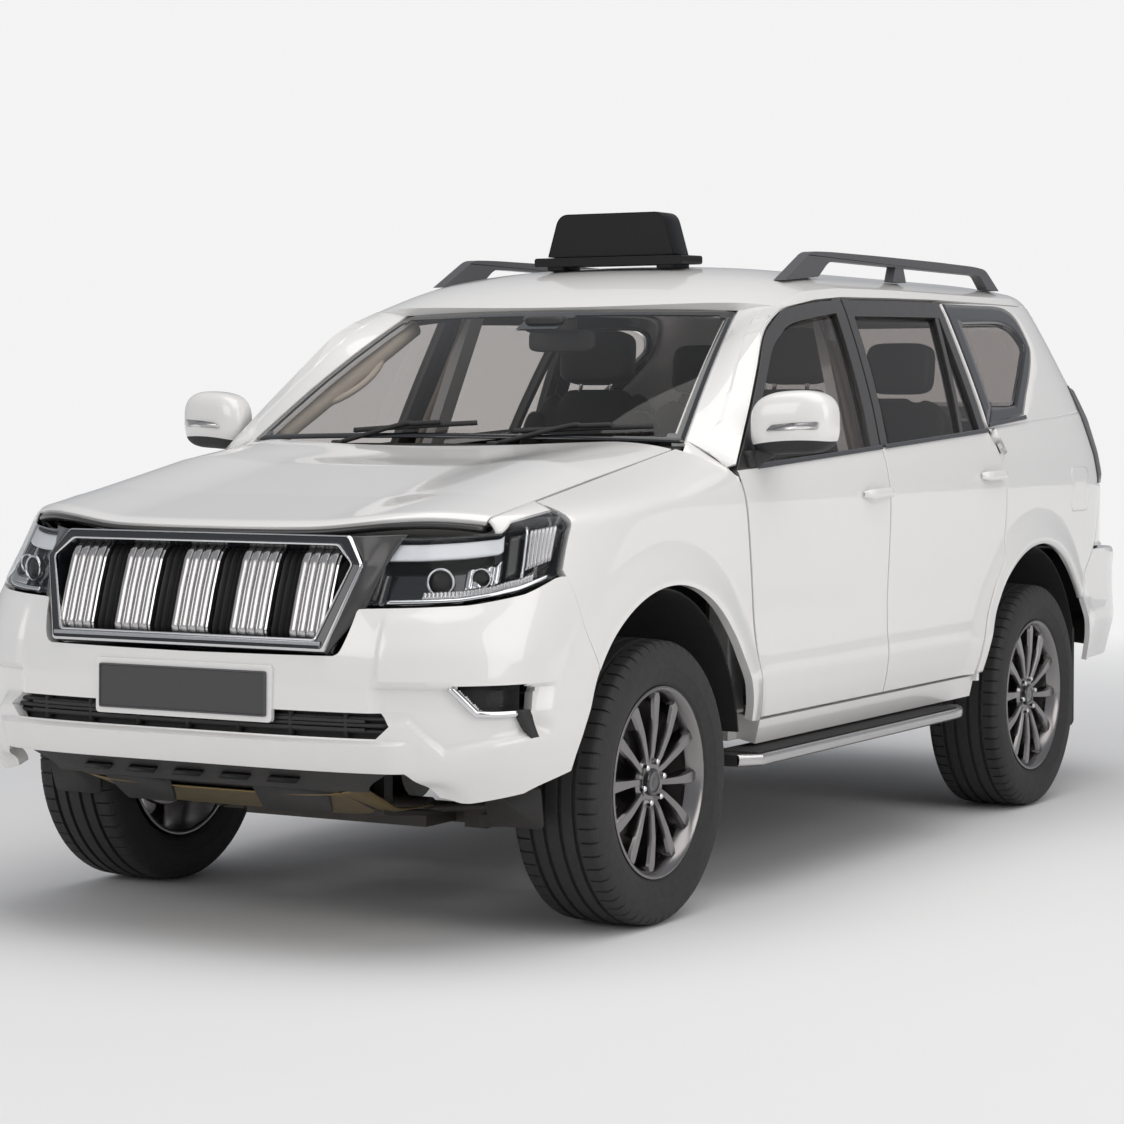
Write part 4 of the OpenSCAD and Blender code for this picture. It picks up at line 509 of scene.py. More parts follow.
for side in ("left", "right"):
    flip = side == "right"
    for end in ("front", "rear"):
        body = f"door_{end}_{side}"
        if end == "front":
            slab = doorSkin(frontEdge, midEdge, 1217, midTop)
            frameS, hy, hz, b0, b1 = frameFront(), yf + 1400, 1128, yf + 600, midY - 18
        else:
            slab = doorSkin(midEdge, rearEdge, midTop, rearTop)
            frameS, hy, hz, b0, b1 = frameRear(), yr - 426, 1164, midY + 4, yr - 376
        bead = moulding(b0, b1, beltZ(b0) + 2, beltZ(b1) + 2)
        ob = addPiece(f"{end}DoorSkin.{side}", Shape().grid(slab), [paint, cabinPlastic], body,
                      (f"{end}_door_{side}",), flipX=flip)
        soften(thick(ob, door["wall"], 1), door["hem"])
        ob = addPiece(f"{end}WindowFrame.{side}", frameS, [frameGrey], body, flipX=flip)
        soften(thick(ob, door["frameWall"]), 2)
        addPiece(f"{end}BeltBead.{side}", bead, [glossBlack], body, flipX=flip)
        ob = addPiece(f"{end}Handle.{side}", handleShape(hy, hz), [paint, paint], body,
                      flipX=flip)
        soften(ob, 0.5)
    a = [(yf + 606, 1236), (yf + 690, 1352), (yf + 776, 1427), (yf + 975, 1584), (yf + 1150, 1644)]
    b = [(midY - 80, 1262), (midY - 62, 1390), (midY - 46, 1490), (midY - 28, 1600), (midY - 16, 1684)]
    ob = addPiece(f"frontPane.{side}", Shape().grid(pane(a, b, 24)), [smokeGlass], f"door_front_{side}",
                  (f"front_glass_{side}",), flipX=flip)
    thick(ob, 4)
    s = Shape()
    s.grid(pane([(midY + 50, 1264), (midY + 76, 1440), (midY + 96, 1560), (midY + 114, 1682)],
                [(yr - 600, 1296), (yr - 558, 1440), (yr - 521, 1560), (yr - 483, 1690)], 16))
    s.grid(pane([(yr - 572, 1300), (yr - 546, 1400), (yr - 515, 1500), (yr - 467, 1660)],
                [(yr - 430, 1308), (yr - 436, 1400), (yr - 441, 1500), (yr - 449, 1670)], 6))
    ob = addPiece(f"rearPane.{side}", s, [smokeGlass], f"door_rear_{side}",
                  (f"rear_glass_{side}",), flipX=flip)
    thick(ob, 4)
print("doors made")

# Fenders and quarter panels: rings of skin round the wheel arches

fender = dict(wall=26, hem=3.0, per=9)
fenderAngles = [142, 134, 124, 114, 104, 94, 84, 74, 64, 54, 44, 34, 22, 11.5]
fenderOuter = [(yf - 462, 985), (yf - 420, 1062)] + \
    [(yf + d, float(hoodEdgeZ(yf + d)) + 2.5) for d in (-366, -280, -150, -20, 110, 250, 400)] + \
    [(yf + 463, 1218), (yf + 496, 1138), (yf + 547, 916), (yf + 590, 702), (yf + 638, 500)]


def ringPanel(cy, angles, outer, corners, rows):  # rows from the arch's circle out to the panel's edge line
    ang = np.radians(np.interp(np.arange(0, (len(angles) - 1) * fender["per"] + 1) / fender["per"],
                               np.arange(len(angles)), angles))
    arch = np.stack([cy + archR * np.cos(ang), archZ + archR * np.sin(ang)], 1)
    edge = spline(outer, fender["per"], corners)
    return loft(arch, edge, rows)


g = ringPanel(archYf, fenderAngles, [(p[0] - half * 0.6, p[1] - half) for p in fenderOuter], (2, 8, 9),
              np.linspace(0, 1, 34) ** 1.1)
ob = addPiece("frontFenders", Shape().grid(skinGrid(g)).mirror(), [paint, blackPlastic], "body",
              ("front_fenders",))
soften(thick(ob, fender["wall"], 1), fender["hem"])


def behind(rows):  # (y, z) points from places counted along the car from the rear axle
    return [(yr + d, z) for d, z in rows]


quarterAngles = [168, 160, 151, 142, 134, 126, 118, 110, 101, 91, 81, 71, 60, 49, 36]
quarterOuter = behind([
    (-542, 502), (-512, 600), (-461, 699), (-388, 796), (-319, 872), (-290, 980), (-290, 1130), (-310, 1240),
    (-360, 1318), (-20, 1335), (320, 1352), (655, 1372), (668, 1240), (668, 1106), (610, 902)])
g = ringPanel(archYr, quarterAngles, [(p[0] + half * 0.5, p[1] + half) for p in quarterOuter], (8, 11, 13),
              np.linspace(0, 1, 22))
s = Shape().grid(skinGrid(g))
gateHalf, gateSill, gateTop = 636.0, 1330.0, 1744.0


def gateEdgeX(z):  # half width of the tailgate's window part, falling by 46 mm to the top
    return gateHalf - 10 - 46 * (z - gateSill) / (gateTop - gateSill)


def gateSide(z):  # (y, z) of the quarter panel beside the tailgate
    return (float(skin(atTailX(gateEdgeX(z) + gap + 12, z), z)[1]), z)


windowInner = behind([(-276, 1392), (-280, 1540), (-283, 1674), (-60, 1682), (77, 1683), (150, 1672),
                      (205, 1652), (240, 1606), (205, 1573), (158, 1540), (100, 1498), (35, 1452),
                      (-45, 1396), (-150, 1391), (-276, 1392)])
windowDark = behind([(-356, 1322), (-372, 1540), (-384, 1741.5), (-60, 1744), (110, 1745), (205, 1735),
                     (262, 1702), (292, 1614), (264, 1566), (214, 1522), (152, 1475), (82, 1425), (8, 1364),
                     (-150, 1348), (-356, 1322)])
windowOuter = behind([(-360, 1321.6), (-376, 1540), (-388, 1742), (-60, 1748), (140, 1750), (300, 1750),
                      (480, 1748)]) \
    + [gateSide(z) for z in (1742, 1610, 1480)] \
    + behind([(640, 1478), (634, 1375.2), (320, 1356), (-20, 1339), (-360, 1321.6)])
innerLine, darkLine = spline(windowInner, 8, (2, 12)), spline(windowDark, 8, (2, 12))
outerLine = spline([(y + (half if y < yr + 630 else 0), z) for y, z in windowOuter], 8, (2, 7, 9, 10, 11))
s.grid(skinGrid(loft(darkLine, outerLine, np.linspace(0, 1, 9))))
s.grid(skinGrid(loft(innerLine, darkLine, np.linspace(0, 1, 5)), 0.6), 2)
ob = addPiece("quarterPanels", s.mirror(), [paint, blackPlastic, glossBlack], "body",
              ("quarter_panels",))
thick(ob, 22)
seal = behind([(-298, 1150), (-306, 1200), (-318, 1240), (-342, 1280), (-366, 1312)])
thick(addPiece("doorSeals", Shape().grid(upright(seal, 3, 26, 8, 11)).mirror(), [blackPlastic]), 6)
bead = moulding(yr - 352, yr + 14, 1330, 1356)
addPiece("quarterBeads", bead.mirror(), [glossBlack], "body")
paneLow = behind([(-272, 1396), (-150, 1395), (-45, 1400), (35, 1456), (100, 1502), (158, 1544), (236, 1604)])
paneTop = behind([(-279, 1670), (-60, 1678), (30, 1679), (77, 1679), (150, 1668), (200, 1650), (237, 1608)])
g = loft(spline(paneLow, 6), spline(paneTop, 6), np.linspace(0, 1, 10))
ob = addPiece("quarterPanes", Shape().grid(skinGrid(g, 2.5)).mirror(), [smokeGlass], "body",
              ("quarter_windows",))
thick(ob, 4)
print("side panels made")

# Hood: raised shoulders with a shallow recess between them

hood = dict(back=yf + 396, frontHalf=726.0, bow=150.0, wall=18, hem=3.0, rows=70, cols=116)
bulgeRows = ([nose + 92, yf - 440, yf - 50, yf + 350], [30, 33, 48, 30])


# Edge height plus a crown: a dish in the middle, eased up to the shoulders, parabola at the sides
def hoodZ(x, y):
    u = np.minimum(1, np.abs(x) / 735)
    dish = mid(0.62, 1.05, ease((y - yf - 50) / 340))
    crown = np.where(u > 0.75, 1 - ((u - 0.75) / 0.25) ** 2, mid(dish, 1, ease((u - 0.4) / 0.33)))
    return hoodEdgeZ(y) + np.interp(y, *bulgeRows) * crown


sCol = np.linspace(-1, 1, hood["cols"])
tRow = np.linspace(0, 1, hood["rows"])[:, None]
frontY = skin(atFrontX(np.abs(sCol * hood["frontHalf"]), 1096), 1096 + 0 * sCol)[:, 1] + 4
x = sCol * mid(hood["frontHalf"], hoodEdgeX(hood["back"]) - gap, tRow)
y = mid(frontY[None], (hood["back"] - hood["bow"] * (1 - sCol**2))[None], tRow)
z = hoodZ(x, y) - 10 * (1 - np.clip((y - frontY[None]) / 26, 0, 1)) ** 2
ob = addPiece("hoodSkin", Shape().grid(np.stack([x, y, z], -1)), [paint, frameBlack], "hood",
              ("hood",))
soften(thick(ob, hood["wall"], 1), hood["hem"])

# Roof: crowned sheet, its sides following the door tops

roof = dict(front=yf + 1100, back=yr + 786, bow=72, lipDrop=26, lipReach=(260, 150), wall=26, hem=3.0)
roofRows = ([yf + 1020, yf + 1100, yf + 1330, yf + 1585, yf + 1990, yr + 300, yr + 800],
            [1708, 1722, 1750, 1767, 1774, 1776, 1772])


def roofLine(y):  # height along the middle: level, falling by powers towards both ends
    return 1846 - 113 * np.maximum(0, (yf + 1560 - y) / 520) ** 1.9 \
        - 40 * np.maximum(0, (y - yr - 100) / 700) ** 2


def roofEdgeX(y):  # half width at the door tops, drawn in by a parabola at the rear
    return halfW(np.interp(y, *roofRows)) - 76 * np.maximum(0, (y - yr - 300) / 486) ** 2


def roofAt(x, y):  # from the middle line down to the edge by a mix of powers 2 and 7
    s = np.minimum(1, np.abs(x) / roofEdgeX(y))
    return roofLine(y) - (roofLine(y) - np.interp(y, *roofRows)) * (0.45 * s**2 + 0.55 * s**7)


c = np.sin(np.linspace(-1, 1, 76) * np.pi / 2)
t = np.linspace(0, 1, 84)[:, None]
lip = roof["front"] - roof["bow"] * (1 - c**2)
end = np.minimum(roof["back"], skin(atTailX(np.abs(c) * 0.985 * halfW(1764.0), 1764.0), 1764 + 0 * c)[:, 1])
y = mid(lip, end, t)
x = c * halfW(np.interp(y, *roofRows))
drop = sum((1 - np.clip(d / reach, 0, 1)) ** 2 for d, reach in zip((y - lip, end - y), roof["lipReach"]))
sheet = np.stack([x, y, roofAt(x, y) - roof["lipDrop"] * drop + 0.4], -1)
s = Shape().grid(sheet)
cantZ = np.interp(y[:, -1], [yf + 1100, yf + 1131, yf + 1380, yf + 1585, yf + 1990, yr - 397],
                  [1690, 1696, 1726, 1740, 1748, 1754])
# Strip down to the door tops
cant = mid(sheet[:, -1], onSkin(y[:, -1], cantZ), np.linspace(0, 1, 8)[:, None, None])
s.grid(cant, flip=True).grid(cant * [-1, 1, 1])
ob = addPiece("roofSkin", s, [paint, beigeTrim], "body", ("roof_panel",))
soften(thick(ob, roof["wall"], 1), roof["hem"])

# Windscreen: the faces near its edges are the black border

screenLow, screenTop = np.array([744, yf + 470, 1296.0]), np.array([592, yf + 1106, 1688.0])


def screenPoint(s, t):  # s across and t up: straight sides, bowed forwards by a parabola and upwards by a sine
    a = mid(screenLow, screenTop, t[..., None])
    bow = mid(150, 72, t) * (1 - s**2)
    return np.stack([s * (a[..., 0] - 4), a[..., 1] - bow - 12,
                     a[..., 2] + 16 * np.sin(np.pi * t) + bow * 0.08], -1)


ss, tt = np.meshgrid(np.linspace(-1, 1, 60), np.linspace(0, 1, 40))
frit = glossBlack.copy()
frit.name = "screenBorder"
border = (np.abs(ss) > 0.945) | (tt > 0.93) | (tt < 0.05) | ((tt > 0.80) & (np.abs(ss) < 0.13))
s = Shape().grid(screenPoint(ss, tt), uv=np.stack([ss, tt], -1))
s.m[0] = border.ravel()[s.f[0]].mean(1) > 0.5
thick(addPiece("windscreen", s, [screenGlass, frit], "body", ("windshield",)), 5)
print("hood, roof and screen made")

# Closed forms: stacked rings with both ends capped

def volume(v, faces):  # signed volume by fans from each face's first corner
    total = 0.0
    for f in faces:
        a = v[f[:, 0]]
        for k in range(1, f.shape[1] - 1):
            total += np.einsum("ij,ij->", a, np.cross(v[f[:, k]], v[f[:, k + 1]]))
    return total


def solid(shape, p, mat=0, ring=False):  # rings p[i, j] joined along i, closed round j, faces turned outwards
    n, m = p.shape[:2]
    faces = [gridFaces(n, m, True, ring)]
    if not ring:
        faces += [np.arange(m)[None, ::-1], (np.arange(m) + (n - 1) * m)[None]]
    v = p.reshape(-1, 3)
    if volume(v - v.mean(0), faces) < 0:
        faces = [f[:, ::-1] for f in faces]
    return shape.add(v, faces, mat)


def tubeRings(path, radius, sides=14):  # round section carried along a path
    p = np.asarray(path, float)
    d = np.gradient(p, axis=0)
    d /= np.linalg.norm(d, axis=1, keepdims=True)
    up = np.where(np.abs(d[:, 2:3]) > 0.9, [[1.0, 0, 0]], [[0, 0, 1.0]])
    a = np.cross(d, up)
    a /= np.linalg.norm(a, axis=1, keepdims=True)
    b = np.cross(d, a)
    t = np.linspace(0, 2 * np.pi, sides, endpoint=False)[None, :, None]
    r = np.broadcast_to(radius, len(p))[:, None, None]
    return p[:, None] + r * (a[:, None] * np.cos(t) + b[:, None] * np.sin(t))


def along(line, section):  # section of offsets carried along a line without turning
    return np.asarray(line, float)[:, None] + np.asarray(section, float)


def across(outline, depths, axis):  # outline drawn at several depths along x (axis 0) or y (axis 1)
    return np.stack([np.insert(np.asarray(outline, float), axis, d, axis=1) for d in depths])


def prismRings(outline, d0, d1, place):  # outline (u, v) drawn at two depths, mapped to the car by place
    o = np.asarray(outline, float)
    return np.stack([place(o[:, 0], o[:, 1], np.full(len(o), d)) for d in (d0, d1)])


# Superellipsoid: powers of sine and cosine, near a rounded block
def softBox(centre, halfSize, e=0.3, n=18, m=32):
    u = np.linspace(-1, 1, n) * (np.pi / 2 - 0.06)
    v = np.linspace(-np.pi, np.pi, m, endpoint=False)
    u, v = np.meshgrid(u, v, indexing="ij")

    def pw(c, k):  # power that keeps the sign
        return np.sign(c) * np.abs(c) ** k
    p = np.stack([pw(np.cos(u), e) * pw(np.cos(v), e), pw(np.cos(u), e) * pw(np.sin(v), e),
                  pw(np.sin(u), e)], -1)
    return p * halfSize + centre


def spinRings(profile, n):  # profile of (x, radius) turned about the x axis
    t = np.linspace(0, 2 * np.pi, n, endpoint=False)
    q = np.asarray(profile, float)
    return np.stack([q[:, :1] + 0 * t, q[:, 1:] * np.cos(t), q[:, 1:] * np.sin(t)], -1)


def roundOutline(points, r, per=5):  # polygon with its corners cut back by r and bent round
    p = np.asarray(points, float)
    r = np.broadcast_to(r, len(p))
    out = []
    for i in range(len(p)):
        a, b, c = p[i - 1], p[i], p[(i + 1) % len(p)]
        s, e = b + (a - b) / np.linalg.norm(a - b) * r[i], b + (c - b) / np.linalg.norm(c - b) * r[i]
        t = np.linspace(0, 1, per)[:, None]
        out.append((1 - t) ** 2 * s + 2 * t * (1 - t) * b + t**2 * e)
    return np.concatenate(out)


# Wheels: tread blocks cut by four grooves and short slots in the shoulders, twelve-spoke rims

wheel = dict(pitches=60, groove=9.0, slot=5.5, track=792.0, spokes=6, turn=12, splay=14, nutCircle=57)
halfTyre = [(-98.5, 255, 0), (-112, 262, 0), (-120, 272, 0), (-126, 288, 0), (-130, 302, 0), (-131, 306, 0),
            (-132, 307, 0), (-132.5, 326, 0), (-131.7, 342, 0), (-130.4, 350, 0), (-130.8, 352, 0),
            (-127.5, 363, .3), (-122, 373, .8), (-115, 379.6, 1), (-108, 382.5, 1), (-100, 383.5, 1),
            (-90, 384, 1),
            (-79, 384.6, .9)]  # x, radius, share of the slot's depth
for c in (-66, -24):
    r0 = 387 - max(0, abs(c) - 30) * 0.05
    halfTyre += [(c - 6.5, r0, 0), (c - 5, r0 - wheel["groove"], 0), (c + 5, r0 - wheel["groove"], 0),
                 (c + 6.5, r0, 0)]
tyreProfile = np.array(halfTyre + [(-x, r, k) for x, r, k in halfTyre[::-1]])
cut = np.tile([1.0, 1, 0, 0], wheel["pitches"])
ang = (np.arange(wheel["pitches"])[:, None] + np.array([0, 0.08, 0.12, 0.96])).ravel() \
    * 2 * np.pi / wheel["pitches"]
rad = tyreProfile[:, 1:2] - tyreProfile[:, 2:3] * wheel["slot"] * cut
tyreRings = np.stack([tyreProfile[:, :1] + 0 * ang, rad * np.cos(ang), rad * np.sin(ang)], -1)
rimProfile = [(-112, 239), (-116, 246), (-116, 253), (-110, 254), (-99, 251), (-96, 253.5), (98, 253.5),
              (102, 258), (112, 262), (117, 260), (118, 254), (114, 248), (100, 240), (74, 229), (54, 238),
              (0, 242)]
hubProfile = [(-10, 20), (-10, 74), (60, 75), (80, 73), (89, 66), (90, 40), (90, 10)]
capProfile = [(88, 38), (97, 37), (100, 34), (101, 28), (99.5, 25), (100.5, 12), (101, 2)]
nutProfile = [(84, 13), (86, 13), (86, 9.5), (101, 9.5), (104, 6)]
discProfile = [(-54, 58), (-54, 166), (-52, 168), (-43, 168), (-43, 160), (-39, 160), (-39, 168), (-30, 168),
               (-28, 166), (-28, 58)]
collarProfile = [(-60, 31), (-60, 62), (-8, 62), (-8, 31)]
spokeR = np.linspace(44, 247, 22)
spokeHalf = np.interp(spokeR, [44, 80, 150, 205, 226, 236, 247], [11, 11, 14, 19, 21, 14, 15])
spokeFace = np.interp(spokeR, [44, 80, 150, 247], [88, 96, 102, 100])


def spokeRings(a, lean):  # six-sided bar from the hub to the rim, its face rising and widening outwards
    k = np.array([-1, -0.72, 0.72, 1, 0.8, -0.8])
    back = np.array([-9, 0, 0, -9, -46, -46])
    th = np.radians(a + lean * mid(1.25, 1.0, (spokeR - 44) / 200))[:, None]
    off = spokeHalf[:, None] * k
    x = spokeFace[:, None] + back
    r = spokeR[:, None]
    return np.stack([x, r * np.cos(th) - off * np.sin(th), r * np.sin(th) + off * np.cos(th)], -1)


def wheelShapes():  # tyre, and rim with paired spokes, hub, cap, nuts, brake disc and collar
    t, r = Shape(), Shape()
    solid(t, tyreRings, ring=True)
    solid(r, spinRings(rimProfile, 128), ring=True)
    turns = np.arange(wheel["spokes"]) * 360 / wheel["spokes"] + wheel["turn"]
    for a in turns:
        for splay in (-wheel["splay"], wheel["splay"]):
            solid(r, spokeRings(a, splay))
    solid(r, spinRings(hubProfile, 64))
    solid(r, spinRings(capProfile, 48), 1)
    for a in np.radians(turns):
        solid(r, spinRings(nutProfile, 6) + wheel["nutCircle"] * np.array([0, math.cos(a), math.sin(a)]), 2)
    solid(r, spinRings(discProfile, 96), 3, ring=True)
    solid(r, spinRings(collarProfile, 48), 3, ring=True)
    return t, r


for side in ("left", "right"):
    for end, y in (("front", yf), ("rear", yr)):
        t, r = wheelShapes()
        for shape in (t, r):
            shape.v = [v + [wheel["track"], y, axleZ] for v in shape.v]
        body, flip = f"wheel_{end}_{side}", side == "right"
        addPiece(f"{end}Tyre.{side}", t, [rubber], body, (f"tyre_{end}_{side}",), False, flip)
        ob = addPiece(f"{end}Rim.{side}", r, [darkChrome, glossBlack, chrome, brakeSteel], body,
                      (f"rim_{end}_{side}",), flipX=flip)
        soften(ob, 1.2, 2, 32)
print("wheels made")

# Front bumper: rows follow the slot's and the fog recess's edges, so the openings have clean borders

front = dict(rows=[20, 6, 14, 20], cols=321, slotHalf=602.0, slotZ=(570.0, 634.0), fogZ=704.0, wall=30, hem=3)


def archFrontY(z):  # bumper's rear edge: the arch's circle, and above it a straight line to the lamp
    arch = archYf - np.sqrt(np.maximum(1, archR**2 - (z - archZ) ** 2))
    return np.where(z < 720, arch, mid(yf - 367, yf - 462, (z - 720) / 265))


def lampFloor(q):  # height of the lamp's lower edge, from a table along the car
    return np.interp(skin(q, 930 + 0 * q)[..., 1], [nose + 78, nose + 200, nose + 320, yf - 485, yf - 462],
                     [898, 908, 932, 968, 972])


def bumperQ(z, k, room=0.0):  # q at height z, with k from 0 at the middle to 1 at the wheel arch
    z = np.asarray(z, float)
    return mid(frontY0(z) - frontArc, atY(archFrontY(z) - room, z), k)


t = np.linspace(-1, 1, front["cols"])
at = np.abs(t)
x850 = skin(bumperQ(850, at), 850 + 0 * at)[..., 0]
topZ = np.where(x850 < 560, np.interp(x850, [0, 416, 432, 520, 548], [770, 774, 782, 890, 892]),
                lampFloor(bumperQ(930, at)) - gap)
lowZ = np.interp(at, [0, 0.40, 0.47, 0.52, 0.60, 0.85, 1], [486, 484, 440, 404, 400, 422, 470])
levels = [lowZ, front["slotZ"][0] + 0 * t, front["slotZ"][1] + 0 * t, front["fogZ"] + 0 * t, topZ]
z = np.concatenate([mid(levels[i], levels[i + 1], np.linspace(0, 1, n, endpoint=i == 3)[:, None])
                    for i, n in enumerate(front["rows"])])
x602 = skin(bumperQ(602, at, half), 602 + 0 * at)[..., 0]
slotCol = int(np.argmin(np.where(t > 0, np.abs(x602 - front["slotHalf"]), 9e9)))
nearSlot = np.exp(-((at - at[slotCol]) / 0.03) ** 2) * ease((z - 545) / 25) * ease((659 - z) / 25)
q = bumperQ(z, at - 0.03 * np.abs(z - 602) / 32 * nearSlot, half)  # columns lean in to a pointed slot end
p = skin(q, z)
ax = p[..., 0].copy()
crease = np.interp(ax, [540, 600, 648, 730, 862, 900], [602, 602, 600, 520, 556, 566])
fogLow, fogTop = front["slotZ"][1], front["fogZ"]
inset = 20 * ease((fogTop - 1 - z) / 9) * ease((z - crease) / 30) * ease((ax - 540) / 50) \
    * (1 - ease((ax - 888) / 14))
inset -= 24 * ease((567 - z) / 10) * mid(0.3, 1.0, (z - 486) / 80) * (1 - ease((ax - 590) / 80)) \
    * ease((z - 476) / 10)
inset += 26 * ease((470 - z) / 50) * ease((ax - 480) / 60) * (1 - ease((ax - 690) / 70))
inset -= 9 * ease((z - fogTop) / 9) * ease((ax - 556) / 22) * (1 - ease((ax - 640) / 200)) \
    * ease((topZ - z) / 40)
p = p - inset[..., None] * skinNormal(q, z)
p[..., 0] *= np.sign(t) + (t == 0)
f = gridFaces(*z.shape)
c = p.reshape(-1, 3)[f].mean(1)
cx, cz = np.abs(c[:, 0]), c[:, 2]
rowOf, colOf = np.divmod(np.arange(len(f)), front["cols"] - 1)
slot = (rowOf >= front["rows"][0]) & (rowOf < sum(front["rows"][:2])) \
    & (colOf < slotCol) & (colOf >= front["cols"] - 1 - slotCol)
fog = (cz > fogLow) & (cz < fogTop) & (cx > 742 + (fogTop - cz) * 0.82) & (cx < 866)
s = Shape().add(p, f[~(slot | fog)])
ob = addPiece("bumperSkin", s, [paint, blackPlastic], "body", ("front_bumper",))
soften(thick(ob, front["wall"], 1), front["hem"])


def frontPoint(x, z, sink):  # point of the nose at (x, z), sunk along the skin's normal
    x, z, sink = np.broadcast_arrays(np.asarray(x, float), np.asarray(z, float), np.asarray(sink, float))
    q = atFrontX(x, z)
    p = skin(q, z) - sink[..., None] * skinNormal(q, z)
    p[..., 0] *= np.where(x < 0, -1, 1)
    return p


s = Shape()
xs = np.linspace(-590, 590, 121)
for z0, d in ((602, 20), (586, 26), (618, 26)):  # crossbars of the slot
    o = np.array([(0, -5), (26, -4), (26, 4), (0, 5), (-3, 0)])
    solid(s, np.stack([frontPoint(xs, z0 + dz, d + dd) for dd, dz in o], 1))
for x0 in np.linspace(-480, 480, 7):
    o = roundOutline([(x0 - 4, 568), (x0 + 4, 568), (x0 + 4, 636), (x0 - 4, 636)], 1, 2)
    solid(s, prismRings(o, 18, 56, frontPoint))
s.grid(frontPoint(np.linspace(-606, 606, 80)[None], np.linspace(556, 648, 9)[:, None], 60))
addPiece("slotBars", s, [blackPlastic])

plateAt = dict(z=672.0, half=260.0, high=52.5, y=nose - 4)
s = Shape()


def platePlace(u, v, d):  # u across, v up, d out of a plane that leans by one part in fifty
    return np.stack([u, plateAt["y"] - d + 0.02 * (v - plateAt["z"]), v], -1)


def plateOutline(g, r):  # rounded rectangle, grown by g
    a, low, top = plateAt["half"] + g, plateAt["z"] - plateAt["high"] - g, plateAt["z"] + plateAt["high"] + g
    return roundOutline([(-a, low), (a, low), (a, top), (-a, top)], r)


border = ((5, 6, -14), (5, 6, 3), (4, 5, 4.5), (1, 5, 4.5), (0, 5, 1), (0, 5, -14))  # growth, corner, depth
solid(s, np.stack([platePlace(*plateOutline(g, r).T, d) for g, r, d in border]), ring=True)
solid(s, prismRings(plateOutline(0.5, 6), -12, 1.5, platePlace), 1)
solid(s, prismRings(plateOutline(20, 12), -18, -3, platePlace), 2)
soften(addPiece("blankPlate", s, [railGrey, frameGrey, paint]), 1.5)

s = Shape()
u, v = np.meshgrid(np.linspace(0, 1, 26), np.linspace(0, 1, 16))
fx, fz = mid(mid(798, 738, v), mid(872, 868, v), u), mid(628, 706, v)
rimK = np.minimum(np.minimum(u, 1 - u) * 14, np.minimum(v, 1 - v) * 9)
s.grid(frontPoint(fx, fz, 46 * ease(rimK) + 22))
fogTrim = spline([(742, 700), (770, 668), (798, 634), (830, 631), (868, 631)], 6, (2,))
solid(s, tubeRings(frontPoint(*fogTrim.T, 13), 10, 10), 1)
solid(s, softBox(frontPoint(838, 672, 42), (24, 22, 22), 0.5), 2)
line = np.linspace(0, 1, 20)
w = np.interp(line, [0, 0.15, 1], [7, 8, 1.5])
mx, mz = mid(872, 886, line), mid(640, 524, line)
solid(s, np.stack([frontPoint(mx + k * w, mz, d) for k, d in ((-1, 2), (1, 2), (1, 24), (-1, 24))], 1))
addPiece("fogRecess", s.mirror(), [blackPlastic, chrome, lampGlass])
print("bumper made")

# Grille: places are (x, height up the face, depth out of it) on a plane that leans back

grille = dict(span=852.0, bar=112.0, bars=5, ribs=4, slats=3, low=792, rise=272, back=94, wires=10.5)
lean = math.atan2(grille["back"], grille["rise"])
grilleH = math.hypot(grille["back"], grille["rise"])


def onGrille(x, h, d):  # h and d turned by the lean, from the grille's lower edge
    x, h, d = np.broadcast_arrays(np.asarray(x, float), np.asarray(h, float), np.asarray(d, float))
    y = nose + 16 + math.sin(lean) * h - math.cos(lean) * d
    return np.stack([x, y, grille["low"] + math.cos(lean) * h + math.sin(lean) * d], -1)


def hexOutline(g):  # six-sided outline, drawn in by g
    right = [(424 - g, g), (494 - g, grilleH * 0.76), (442 - g, grilleH - g)]
    return roundOutline([(-424 + g, g), *right, (-442 + g, grilleH - g), (-494 + g, grilleH * 0.76)], 9, 4)


def hexRing(shape, stations, mat):  # closed frame through stations of (inset, depth)
    solid(shape, np.stack([onGrille(*hexOutline(g).T, d) for g, d in stations]), mat, ring=True)


s = Shape()
hexRing(s, [(-6, -44), (-6, 0), (-2, 8), (14, 12), (22, 4), (25, -30), (25, -44)], 0)
hexRing(s, [(16, 10), (16.5, 14), (19, 15), (21.5, 13), (22, 3)], 1)
hexRing(s, [(-8.5, -4), (-8.5, 3), (-6, 5), (-3, 9), (-3, -4)], 1)
lower = spline([(-424, 4), (0, 4), (424, 4)], 30)
lowerTrim = ((0, 14), (9, 16), (13, 10), (4, 8))
solid(s, np.stack([onGrille(lower[:, 0], lower[:, 1] + dh, dd) for dh, dd in lowerTrim], 1), 1)
pitch = (grille["span"] - grille["bar"]) / (grille["bars"] - 1)
hRow = np.linspace(16, grilleH - 16, 40)
lift = np.interp(hRow, [16, 24, 40, 0.5 * grilleH, 0.78 * grilleH, 0.86 * grilleH, grilleH - 16],
                 [-20, -4, 6, 9, 7, 0, -20])
rib = np.array([(0.0, -8), (0.11, -7), (0.17, -1), (0.3, 0.6), (0.5, 1), (0.7, 0.6), (0.83, -1),
                (0.89, -7)])  # share of the rib's width, depth: rounded top between two narrow grooves
xc = ((np.arange(grille["ribs"])[:, None] + rib[:, 0]) * grille["bar"] / grille["ribs"]).ravel()[1:]
dc = np.tile(rib[:, 1], grille["ribs"])[1:]
